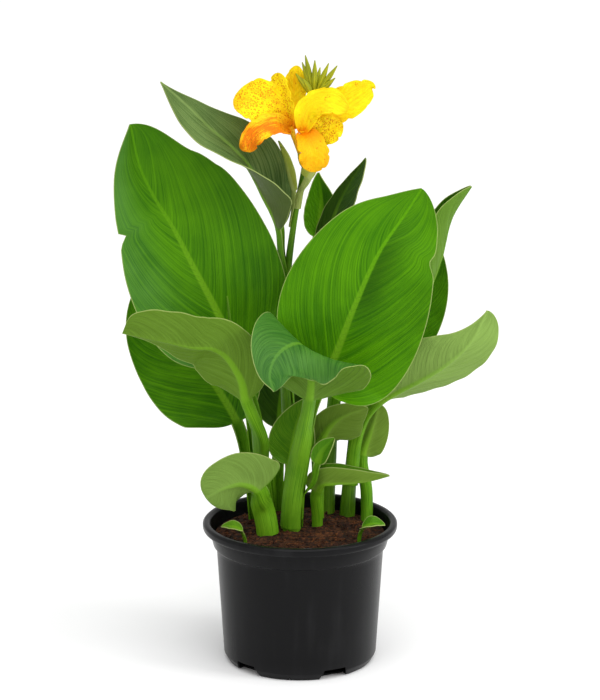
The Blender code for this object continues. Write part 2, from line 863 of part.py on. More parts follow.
# The blooms: each is a short tube that opens into petals
BLOOMS = {
    "bloom_left": (
        [(-1, 8, 501), (-5, 6, 514), (-9, 4, 527)],
        [
            petal([(-8, 4, 524), (-30, -4, 544), (-47, -6, 553), (-62, 0, 555)], (0, -0.8, 0.6), (21, 23)),
            petal([(-8, 5, 524), (-17, 3, 552), (-22, 8, 577)], (-0.5, -1, 0.2), (12, 11)),
            petal([(-7, 6, 524), (-5, 18, 554), (-3, 22, 582)], (0, -1, 0.2), (11, 10)),
            petal(
                [(-10, 3, 524), (-26, -14, 532), (-39, -22, 527), (-47, -24, 518), (-50, -24, 507)],
                (0.4, -0.9, 0.5),
                (10, 10),
                tip_power=0.3,
            ),
        ],
    ),
    "bloom_right": (
        [(8, 4, 503), (5, -2, 514), (2, -8, 525)],
        [
            petal([(2, -8, 522), (12, -16, 548), (27, -20, 553), (45, -18, 546)], (0, -0.9, 0.5), (14, 12)),
            petal([(3, -7, 522), (20, -3, 538), (42, 0, 549), (70, 4, 567)], (0.1, -1, 0.2), (16, 15)),
            petal([(3, -8, 522), (20, -9, 524), (40, -8, 532)], (0, -1, 0.1), (12, 13)),
            petal([(1, -9, 522), (7, -20, 518), (12, -26, 506), (11, -25, 488)], (0.1, -0.6, 1), (15, 14)),
        ],
    ),
}
BUD_BASE = (13.1, 9.9, 548.4)
BUD_TIPS = [
    (5, 12, 593), (14, 6, 589), (2, 16, 586), (19, 16, 581), (27, 8, 586), (35, 6, 584), (33, 2, 573),
    (-4, 17, 575), (3, 3, 572),
]
OVARIES = {
    "ovary_left": [(3.6, 10.2, 486), (1.5, 8.2, 492), (-0.8, 8.0, 500.6)],
    "ovary_right": [(6.4, 11.3, 488), (9.5, 7.5, 494), (8.1, 4.3, 502.6)],
}


def main():
    """Builds every piece."""
    for obj in list(bpy.data.objects):
        bpy.data.objects.remove(obj)
    plastic = new_material("pot_plastic", (0.012, 0.012, 0.013), 0.4)
    peat = new_material("soil", (0.06, 0.03, 0.018), 0.95)
    greens = {
        "leaf": new_material("leaf", GREEN, 0.45),
        "stem": new_material("stem", (0.22, 0.45, 0.05), 0.5),
        "bract": new_material("bract", PALE_GREEN, 0.5),
    }
    yellow = new_material("petal", YELLOW, 0.5)
    bud_green = new_material("bud", (0.45, 0.5, 0.06), 0.5)
    make_pot(plastic)
    holes = []
    for stem in STEMS:
        mesh = bmesh.new()
        tube(mesh, stem, stem.radii)
        new_object(stem.name, mesh, greens["stem"])
        holes.append(soil_hole(stem, stem.radii[0] + GAP, peat))
    for leaf in LEAVES:
        mesh = bmesh.new()
        leaf.build(mesh)
        new_object(leaf.name, mesh, greens[leaf.material])
        if leaf.path.at(0)[2] < SOIL_TOP:
            holes.append(soil_hole(leaf.path, leaf.stalk_width + 2.5, peat))
    make_soil(peat, holes)
    for name, (route, petals) in BLOOMS.items():
        make_bloom(name, route, petals, yellow)
    for name, route in OVARIES.items():
        mesh = bmesh.new()
        tube(mesh, Path(route), (1.3, 2.3, 2.4, 1.6), sides=8, rings=5)
        new_object(name, mesh, bud_green)
    make_buds(bud_green)


main()
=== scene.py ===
"""A canna lily in flower, standing in a black nursery pot: its fine shapes, finishes, light and camera.

The scene is in metres with +Z up, and the front of the plant looks along -Y. The plant's own sizes are
in millimetres and are scaled by MM where a vertex is placed.
"""

import logging
import math
from collections.abc import Callable, Sequence
from dataclasses import dataclass, field
from enum import Enum

import bmesh
import bpy
import numpy as np
from bmesh.types import BMesh, BMFace, BMVert
from bpy.types import ID, Material, Node, NodeSocket, Object
from mathutils import Matrix, Vector, noise


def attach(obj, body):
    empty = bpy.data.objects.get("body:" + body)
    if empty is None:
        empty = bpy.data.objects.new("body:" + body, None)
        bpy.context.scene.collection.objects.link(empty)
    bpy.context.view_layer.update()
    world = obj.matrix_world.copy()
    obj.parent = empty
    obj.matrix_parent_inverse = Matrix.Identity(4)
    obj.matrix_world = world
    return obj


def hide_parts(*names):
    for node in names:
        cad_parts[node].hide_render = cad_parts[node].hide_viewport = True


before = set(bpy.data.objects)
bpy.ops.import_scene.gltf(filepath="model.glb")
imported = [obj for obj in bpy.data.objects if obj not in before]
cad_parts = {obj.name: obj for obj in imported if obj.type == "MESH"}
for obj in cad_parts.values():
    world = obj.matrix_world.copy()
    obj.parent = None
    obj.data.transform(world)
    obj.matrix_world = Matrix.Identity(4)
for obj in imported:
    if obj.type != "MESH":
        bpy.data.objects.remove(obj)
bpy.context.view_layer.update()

MM = 0.001  # metres in a millimetre
GAP = 0.4  # clearance between a sheath and its stem
SLACK = 1.06  # how much wider than its stem a sheath is
SHEATH_RIB = 1.3  # thickness of a sheath at its middle
LEAST = 0.6  # half width that a sheet keeps at its ends
OPENING = 0.12  # share of a blade over which it opens from its stalk
BLADE_ROWS = 0.7  # share of a leaf's rows that lie on its blade
COARSE, FINE = 11, 19  # furrows from a blade's base to its tip
GROOVE_DEPTH, GROOVE_WIDTH = 0.5, 1.6  # groove along the upper side of a rib
SHARP, CUT_SHARP = 40.0, 38.0  # degrees above which an edge is sharp, also once the pot is cut
VEIN_BEND = 1.3  # power with which veins sweep from the rib to the margin
LOG = logging.getLogger("canna")

Point = tuple[float, float, float]
Colour = tuple[float, float, float]
Layers = dict[str, np.ndarray]


class Side(Enum):
    """Which face of a leaf or petal a finish is for."""

    UPPER = "upper"
    UNDER = "under"


def operator(operation: str, turned: bool = False) -> Callable[..., "Value"]:
    """Makes one of Value's operators.

    Args:
        operation: The Math node's operation.
        turned: Whether the value is the last input, and not the first.

    Returns:
        The operator.
    """

    def apply(self: "Value", *others: "Value | float") -> "Value":
        """Adds the Math node."""
        return self.board.math(operation, *((*others, self) if turned else (self, *others)))

    return apply


class Value:
    """A shader socket that takes part in sums written as plain Python."""

    def __init__(self, board: "Board", socket: NodeSocket) -> None:
        """Wraps an output socket of a board."""
        self.board, self.socket = board, socket

    __add__, __radd__ = operator("ADD"), operator("ADD", turned=True)
    __sub__, __rsub__ = operator("SUBTRACT"), operator("SUBTRACT", turned=True)
    __mul__, __rmul__ = operator("MULTIPLY"), operator("MULTIPLY", turned=True)
    __truediv__, __pow__ = operator("DIVIDE"), operator("POWER")
    __abs__, sine = operator("ABSOLUTE"), operator("SINE")

    def step(self, low: float, high: float) -> "Value":
        """A smooth step.

        Args:
            low: Where the step starts, at 0.
            high: Where it ends, at 1. Below low, the step falls instead.

        Returns:
            The step's value, from 0 to 1.
        """
        if low > high:
            return 1.0 - self.step(high, low)
        smooth = {"interpolation_type": "SMOOTHSTEP"}
        made = self.board.node("ShaderNodeMapRange", smooth, {0: self, 1: low, 2: high})
        return Value(self.board, made.outputs[0])


class Board:
    """One material and its nodes."""

    def __init__(self, name: str) -> None:
        """Starts a material with its Principled shader.

        Args:
            name: The material's name.
        """
        self.material = bpy.data.materials.new(name)
        self.material.use_nodes = True
        self.tree = self.material.node_tree
        self.shader = self.tree.nodes["Principled BSDF"]

    def link(self, socket: NodeSocket, value: object) -> None:
        """Feeds a socket.

        Args:
            socket: The input socket.
            value: A Value, an output socket, or a constant.
        """
        if isinstance(value, Value):
            value = value.socket
        if isinstance(value, NodeSocket):
            self.tree.links.new(value, socket)
        elif isinstance(value, tuple) and socket.type == "RGBA":
            socket.default_value = (*value[:3], 1.0)
        else:
            socket.default_value = value

    def node(self, kind: str, settings: dict | None = None, inputs: dict | None = None) -> Node:
        """Adds any node.

        Args:
            kind: The node's type.
            settings: Its settings, set first. "stops" sets a colour ramp's stops.
            inputs: Its inputs by name or number.

        Returns:
            The node.
        """
        made = self.tree.nodes.new(kind)
        for key, value in (settings or {}).items():
            if key == "stops":
                ramp = made.color_ramp.elements
                while len(ramp) < len(value):
                    ramp.new(0.5)
                for element, (place, colour) in zip(ramp, value):
                    element.position = place
                    element.color = (*colour, 1.0)
            else:
                setattr(made, key, value)
        for key, value in (inputs or {}).items():
            self.link(made.inputs[key], value)
        return made

    def math(self, operation: str, *values: Value | float) -> Value:
        """The result of a Math node's operation on these inputs."""
        made = self.node("ShaderNodeMath", {"operation": operation}, dict(enumerate(values)))
        return Value(self, made.outputs[0])

    def mix(self, share: Value | float, first: object, second: object) -> Value:
        """Two colours mixed, with this share of the second."""
        made = self.node("ShaderNodeMix", {"data_type": "RGBA"}, {0: share, 6: first, 7: second})
        return Value(self, made.outputs[2])

    def parts(self, attribute: str) -> tuple[Value, Value, Value]:
        """Reads a vector attribute of the mesh.

        Args:
            attribute: Its name.

        Returns:
            Its three numbers.
        """
        read = self.node("ShaderNodeAttribute", {"attribute_name": attribute})
        split = self.node("ShaderNodeSeparateXYZ", {}, {0: read.outputs["Vector"]})
        return tuple(Value(self, socket) for socket in split.outputs)

    def vector(self, x: Value | float, y: Value | float, z: Value | float) -> NodeSocket:
        """Joins three numbers into a vector."""
        return self.node("ShaderNodeCombineXYZ", {}, {0: x, 1: y, 2: z}).outputs[0]

    def place(self) -> NodeSocket:
        """The place in the object's own coordinates."""
        return self.node("ShaderNodeTexCoord").outputs["Object"]

    def noise(self, vector: NodeSocket, scale: float, detail: float = 3.0) -> Value:
        """Noise from about 0.2 to 0.8, this fine and with this many octaves."""
        made = self.node("ShaderNodeTexNoise", {}, {"Vector": vector, "Scale": scale, "Detail": detail})
        return Value(self, made.outputs[0])

    def cells(self, vector: NodeSocket, scale: float) -> Value:
        """The distance to the nearest of many scattered spots, this many in a unit."""
        made = self.node("ShaderNodeTexVoronoi", {}, {"Vector": vector, "Scale": scale})
        return Value(self, made.outputs["Distance"])

    def finish(
        self, colour: object, roughness: Value | float, relief: Value | None, depth: float, **settings: object
    ) -> Material:
        """Feeds the shader.

        Args:
            colour: The base colour.
            roughness: The roughness.
            relief: What the bump follows.
            depth: The bump's depth in metres.
            settings: Constants for the shader's other sockets, with _ for each space in a name.

        Returns:
            The finished material.
        """
        self.link(self.shader.inputs["Base Color"], colour)
        self.link(self.shader.inputs["Roughness"], roughness)
        if relief is not None:
            bump = self.node("ShaderNodeBump", {}, {"Strength": 1.0, "Distance": depth, "Height": relief})
            self.link(self.shader.inputs["Normal"], bump.outputs[0])
        for key, value in settings.items():
            self.link(self.shader.inputs[key.replace("_", " ")], value)
        return self.material


@dataclass(frozen=True)
class LeafFinish:
    """A leaf's green, its ribs and veins, and its pale rim, with painted shade beside the rib and a painted
    bluish sheen where these are asked for.
    """

    name: str
    deep: Colour
    bright: Colour
    under: Colour
    rib: Colour = (0.16, 0.36, 0.012)
    rim: Colour = (0.40, 0.48, 0.15)
    stalk: Colour = (0.055, 0.19, 0.002)
    gloss: float = 0.45
    sheen: float = 0.07
    veins: float = 30.0
    sweep: tuple[float, float] = (0.38, 0.34)
    shade: float = 0.0
    painted_sheen: float = 0.0
    fine_lines: float = 150.0
    broad_bands: float = 34.0
    vein_crest: float = 14.0
    relief: float = 0.0006

    def material(self, side: Side) -> Material:
        """The finish of one face.

        Args:
            side: Which face.

        Returns:
            The material.
        """
        board = Board(f"{self.name}_{side.value}")
        across, share, _ = board.parts("blade")
        from_rib, from_edge, _ = board.parts("span")
        spread = abs(across)
        left, right = self.sweep
        phase = share - (across.step(-0.01, 0.01) * (right - left) + left) * spread**VEIN_BEND
        sway = board.noise(board.place(), 9.0, 2.0)
        flow = phase + 0.02 * sway
        half = board.math("SIGN", across)
        fine = board.noise(board.vector(flow * self.fine_lines, spread * 2.2, half * 7.0), 1.0, 2.0)
        broad = board.noise(board.vector(flow * self.broad_bands, spread * 1.2, half * 3.0), 1.0, 2.0)
        wave = (flow * (math.pi * self.veins) + half).sine()
        vein = (1.0 - abs(wave)) ** self.vein_crest
        cloud = board.noise(board.place(), 22.0, 3.0)
        under = side is Side.UNDER
        blade_share = share.step(-0.02, 0.03)
        base = self.under if under else self.deep
        light = tuple(c * 1.35 + 0.008 for c in self.under) if under else self.bright
        tone = (broad - 0.5) * 1.3 + (fine - 0.5) * 1.1 + (cloud - 0.5) * 0.8 + 0.5
        colour = board.mix(tone.step(0.0, 1.0), base, light)
        # Painted shade: a darker band just right of the rib, over the middle of the blade's upper side.
        if self.shade and not under:
            painted_shade_band = across.step(0.0, 0.06) * from_rib.step(34.0, 4.0)
            painted_shade_band = painted_shade_band * share.step(0.3, 0.5) * share.step(0.95, 0.6)
            colour = board.mix(painted_shade_band * self.shade, colour, tuple(c * 0.45 for c in self.deep))
        # Painted sheen: a bluish reflection laid over the left half of the upper side, towards its margin.
        if self.painted_sheen and not under:
            colour = board.mix(across.step(-0.15, -0.9) * cloud * self.painted_sheen, colour, (0.10, 0.22, 0.10))
        vein_colour = tuple(min(1.0, c * 1.25 + 0.02) for c in light)
        colour = board.mix(vein * blade_share * (0.45 if under else 0.34), colour, vein_colour)
        rib_width = 1.0 - share.step(-0.1, 1.0) * 0.8
        rib_mask = (from_rib / (rib_width * (5.0 if under else 5.4) + 0.4)).step(0.9, 0.42)
        lines = board.noise(board.vector(across * 26.0, share * 2.0, 1.0), 1.0, 3.0)
        stalk_colour = board.mix((lines + (cloud - 0.5) * 0.5).step(0.32, 0.68), self.stalk, self.rib)
        rib_colour = board.mix(share.step(0.0, 0.9), self.rib, light)
        colour = board.mix(rib_mask * 0.85, colour, rib_colour)
        colour = board.mix(1.0 - blade_share, colour, stalk_colour)
        rim_mask = from_edge.step(0.85, 0.3) * share.step(-0.3, 0.1)
        colour = board.mix(rim_mask * 0.6, colour, self.rim)
        relief = (fine * 0.35 + broad * 0.5 - vein * 0.6) * blade_share + lines * (1.0 - blade_share) * 0.8
        rough = self.gloss + (0.12 if under else 0.0) + (cloud - 0.5) * 0.2
        return board.finish(colour, rough, relief, self.relief, Specular_IOR_Level=self.sheen)


@dataclass(frozen=True)
class StemFinish:
    """A smooth stem with fine lines along it."""

    name: str
    deep: Colour
    bright: Colour
    roughness: float = 0.45
    lines: float = 9.0
    relief: float = 0.0005

    def material(self) -> Material:
        """The material."""
        board = Board(self.name)
        x, y, along = board.parts("round")
        fine = board.noise(board.vector(x * self.lines, y * self.lines, along * 4.0), 1.0, 3.0)
        cloud = board.noise(board.place(), 30.0, 3.0)
        tone = (fine - 0.5) * 1.6 + (cloud - 0.5) * 0.9 + 0.5
        colour = board.mix(tone.step(0.0, 1.0), self.deep, self.bright)
        rough = self.roughness + (cloud - 0.5) * 0.2
        return board.finish(colour, rough, fine, self.relief, Specular_IOR_Level=0.2)


@dataclass(frozen=True)
class PetalFinish:
    """A yellow petal, orange at its throat, with red-orange speckles."""

    name: str
    yellow: Colour = (0.95, 0.74, 0.006)
    deep: Colour = (0.93, 0.50, 0.004)
    orange: Colour = (0.90, 0.24, 0.002)
    speckle: Colour = (0.66, 0.17, 0.003)
    speckled: float = 0.5
    flush: float = 0.3
    grain: tuple[float, float] = (0.5, 0.85)
    spots: float = 620.0
    patches: float = 140.0
    roughness: float = 0.5
    relief: float = 0.0007

    def material(self) -> Material:
        """The material."""
        board = Board(self.name)
        across, share, seed = board.parts("blade")
        _, from_edge, _ = board.parts("span")
        phase = share - 0.25 * abs(across) ** 1.4
        fine = board.noise(board.vector(across * 16.0, share * 2.0, seed), 1.0, 3.0)
        cloud = board.noise(board.place(), 60.0, 3.0)
        colour = board.mix((cloud * 0.6 + fine * 0.6).step(*self.grain), self.yellow, self.deep)
        throat = (share + (fine - 0.5) * 0.25).step(self.flush + 0.25, 0.02)
        colour = board.mix(throat * 0.85, colour, self.orange)
        spots = board.cells(board.place(), self.spots).step(0.52, 0.3)
        patch = board.noise(board.place(), self.patches, 2.0)
        patch = patch.step(0.62 - 0.22 * self.speckled, 0.72 - 0.2 * self.speckled)
        edge_free = from_edge.step(0.5, 3.0)
        colour = board.mix(spots * patch * edge_free * 0.85, colour, self.speckle)
        relief = fine + (phase * 60.0).sine() * 0.15
        glow = {"Subsurface_Weight": 0.15, "Subsurface_Radius": (0.004, 0.002, 0.0005)}
        return board.finish(colour, self.roughness, relief, self.relief, Specular_IOR_Level=0.1, **glow)


@dataclass(frozen=True)
class PotFinish:
    """Satin black moulded plastic with faint scuffs and dust."""

    black: Colour = (0.004, 0.004, 0.0045)
    scuffed: Colour = (0.016, 0.016, 0.017)
    roughness: float = 0.3
    relief: float = 0.00006

    def material(self) -> Material:
        """The material."""
        board = Board("pot_satin_black")
        place = board.place()
        cloud = board.noise(place, 14.0, 4.0)
        split = board.node("ShaderNodeSeparateXYZ", {}, {0: place})
        x, y, height = (Value(board, socket) for socket in split.outputs)
        drawn = board.noise(board.vector(x * 90.0, y * 90.0, height * 8.0), 1.0, 3.0)
        grain = board.noise(place, 1400.0, 2.0)
        scuff = (cloud * 0.5 + drawn * 0.5).step(0.5, 0.72)
        low = height.step(0.02, 0.0) * 0.35
        colour = board.mix(scuff * 0.4 + low, self.black, self.scuffed)
        rough = self.roughness + (cloud - 0.5) * 0.16 + (drawn - 0.5) * 0.1
        return board.finish(colour, rough, grain, self.relief, Specular_IOR_Level=0.12)


@dataclass(frozen=True)
class PeatFinish:
    """Moist peat: dark reddish crumbs with lighter fibres."""

    dark: Colour = (0.008, 0.004, 0.002)
    brown: Colour = (0.042, 0.014, 0.006)
    fibre: Colour = (0.13, 0.045, 0.014)
    roughness: float = 0.95
    relief: float = 0.0012

    def material(self, name: str, lift: float = 0.0) -> Material:
        """The material.

        Args:
            name: Its name.
            lift: How much paler than the ground it is.

        Returns:
            The material.
        """
        board = Board(name)
        place = board.place()
        crumbs = board.noise(place, 260.0, 4.0)
        grain = board.noise(place, 900.0, 3.0)
        patch = board.noise(place, 45.0, 3.0)
        tone = (crumbs - 0.5) * 2.2 + (grain - 0.5) * 1.4 + (patch - 0.5) * 1.2 + 0.45 + lift
        stops = [(0.1, self.dark), (0.55, self.brown), (1.0, self.fibre)]
        ramp = board.node("ShaderNodeValToRGB", {"stops": stops}, {0: tone})
        relief = crumbs + grain * 0.5
        return board.finish(ramp.outputs[0], self.roughness, relief, self.relief, Specular_IOR_Level=0.2)


@dataclass(frozen=True)
class FloorFinish:
    """The plain pale studio floor."""

    pale: Colour = (0.93, 0.93, 0.93)
    roughness: float = 0.9

    def material(self) -> Material:
        """The material."""
        board = Board("studio_floor")
        drift = board.noise(board.place(), 0.7, 2.0)
        colour = board.mix(drift.step(0.3, 0.7), self.pale, tuple(c * 1.02 for c in self.pale))
        return board.finish(colour, self.roughness, None, 0.0, Specular_IOR_Level=0.1)


def unit(vector: Sequence[float]) -> np.ndarray:
    """The vector at length 1."""
    vector = np.asarray(vector, float)
    return vector / np.linalg.norm(vector)


class Route:
    """A smooth line through a few points, read by the distance along it."""

    STEPS = 12

    def __init__(self, points: Sequence[Point]) -> None:
        """Lays the line.

        Args:
            points: The points that it passes through, in millimetres.
        """
        points = np.asarray(points, float)
        spans = np.linalg.norm(np.diff(points, axis=0), axis=1)
        slopes = np.diff(points, axis=0) / spans[:, None]
        before, after = spans[:-1, None], spans[1:, None]
        inner = (slopes[:-1] * after + slopes[1:] * before) / (before + after)
        tangents = np.vstack([slopes[:1], inner, slopes[-1:]])
        line = []
        for i, span in enumerate(spans):
            for t in np.arange(self.STEPS) / self.STEPS:
                line.append(
                    (2 * t**3 - 3 * t**2 + 1) * points[i]
                    + (t**3 - 2 * t**2 + t) * span * tangents[i]
                    + (3 * t**2 - 2 * t**3) * points[i + 1]
                    + (t**3 - t**2) * span * tangents[i + 1]
                )
        line.append(points[-1])
        self.line = np.array(line)
        steps = np.linalg.norm(np.diff(self.line, axis=0), axis=1)
        self.along = np.concatenate([[0.0], np.cumsum(steps)])
        self.length = float(self.along[-1])

    def knot(self, index: int) -> float:
        """The distance at which the line passes one of its points."""
        return float(self.along[index * self.STEPS])

    def at(self, distance: np.ndarray | float) -> np.ndarray:
        """The point or points at these distances."""
        return np.stack([np.interp(distance, self.along, self.line[:, k]) for k in range(3)], axis=-1)

    def direction(self, distance: np.ndarray | float, reach: float = 3.0) -> np.ndarray:
        """The direction of travel at these distances."""
        ahead = self.at(np.minimum(np.asarray(distance) + reach, self.length))
        behind = self.at(np.maximum(np.asarray(distance) - reach, 0.0))
        span = ahead - behind
        return span / np.linalg.norm(span, axis=-1, keepdims=True)


def new_object(name: str, data: ID) -> Object:
    """An object of this data, in the scene."""
    made = bpy.data.objects.new(name, data)
    bpy.context.scene.collection.objects.link(made)
    return made


def new_piece(name: str, mesh: BMesh, materials: Sequence[Material], sharp: float = SHARP) -> Object:
    """Makes an object from a bmesh.

    Args:
        name: The object's name.
        mesh: The bmesh, which is freed.
        materials: Its materials, by slot.
        sharp: The angle in degrees above which an edge is sharp.

    Returns:
        The object.
    """
    data = bpy.data.meshes.new(name)
    mesh.to_mesh(data)
    mesh.free()
    data.shade_smooth()
    data.set_sharp_from_angle(angle=math.radians(sharp))
    for material in materials:
        data.materials.append(material)
    return new_object(name, data)


def dress(piece: Object, node: str) -> None:
    """Puts a finished piece in the place of a plain solid.

    Args:
        piece: The piece.
        node: The solid's name.
    """
    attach(piece, "root")
    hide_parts(node)
    LOG.info("%s: %d faces", piece.name, len(piece.data.polygons))


def faces_round(verts: Sequence[BMVert]) -> list[BMFace]:
    """The faces that these vertices carry, each once and always in the same order."""
    return list(dict.fromkeys(face for vert in verts for face in vert.link_faces))


def paint(faces: Sequence[BMFace], slot: int) -> None:
    """Gives faces a material slot."""
    for face in faces:
        face.material_index = slot


def grid_sheet(mesh: BMesh, rows: int, columns: int) -> tuple[list[BMVert], np.ndarray, np.ndarray]:
    """Adds a flat grid that is then bent to shape.

    Args:
        mesh: The bmesh.
        rows: How many rows of vertices.
        columns: How many columns.

    Returns:
        The vertices, and the row and the column of each.
    """
    verts = bmesh.ops.create_grid(mesh, x_segments=columns - 1, y_segments=rows - 1, size=0.5)["verts"]
    places = np.array([vert.co[:2] for vert in verts]) + 0.5
    column, row = np.rint(places * (columns - 1, rows - 1)).astype(int).T
    return verts, row, column


@dataclass
class Stem:
    """A tapering stem along a route, with fine lines."""

    node: str
    points: Sequence[Point]
    radii: Sequence[float]
    finish: StemFinish
    slot: str = "stem"
    sides: int = 28
    rings: int = 70
    ridges: float = 0.0
    route: Route = field(init=False)

    def __post_init__(self) -> None:
        """Lays the route."""
        self.route = Route(self.points)

    def radius(self, distance: float) -> float:
        """The radius at this distance from the root."""
        stops = np.linspace(0, self.route.length, len(self.radii))
        return float(np.interp(distance, stops, self.radii))

    def distance_at(self, height: float) -> float:
        """The distance at which the stem has this height."""
        return float(np.interp(height, self.route.line[:, 2], self.route.along))

    def add_to(self, mesh: BMesh) -> None:
        """Adds the closed tube to a bmesh.

        Args:
            mesh: The bmesh.
        """
        vectors = mesh.verts.layers.float_vector
        layer = vectors.get("round") or vectors.new("round")
        verts, rows, columns = grid_sheet(mesh, self.rings, self.sides + 1)
        distances = np.linspace(0, self.route.length, self.rings)
        centre, along = self.route.at(distances), self.route.direction(distances)
        across = np.cross(along, (0.0, 1.0, 0.1))
        across /= np.linalg.norm(across, axis=1, keepdims=True)
        up = np.cross(across, along)
        for vert, row, column in zip(verts, rows, columns):
            angle = 2 * math.pi * (column % self.sides) / self.sides
            radius = self.radius(distances[row])
            radius *= 1 + self.ridges * math.cos(angle * 9 + row * 0.02)
            x, y = math.cos(angle), math.sin(angle)
            vert.co = (centre[row] + radius * (across[row] * x + up[row] * y)) * MM
            vert[layer] = (x, y, distances[row] * MM * 10)
        bmesh.ops.remove_doubles(mesh, verts=verts, dist=1e-7)
        verts = [vert for vert in verts if vert.is_valid]
        ends = dict.fromkeys(edge for vert in verts for edge in vert.link_edges if edge.is_boundary)
        bmesh.ops.holes_fill(mesh, edges=list(ends), sides=0)
        bmesh.ops.recalc_face_normals(mesh, faces=mesh.faces)

    def build(self) -> None:
        """Makes the piece and dresses it."""
        mesh = bmesh.new()
        self.add_to(mesh)
        dress(new_piece(f"{self.node}_skin", mesh, [self.finish.material()]), self.node)


@dataclass(frozen=True)
class Nick:
    """A place where a margin is drawn in: a tear, a notch or a pinch."""

    half: int
    share: float
    depth: float
    span: float
    tear: bool = False


@dataclass(frozen=True)
class Sheath:
    """Where a leaf's foot clasps a stem: between two heights, on one side, and round it to an angle."""

    stem: Stem
    heights: tuple[float, float]
    side: float
    turn: float


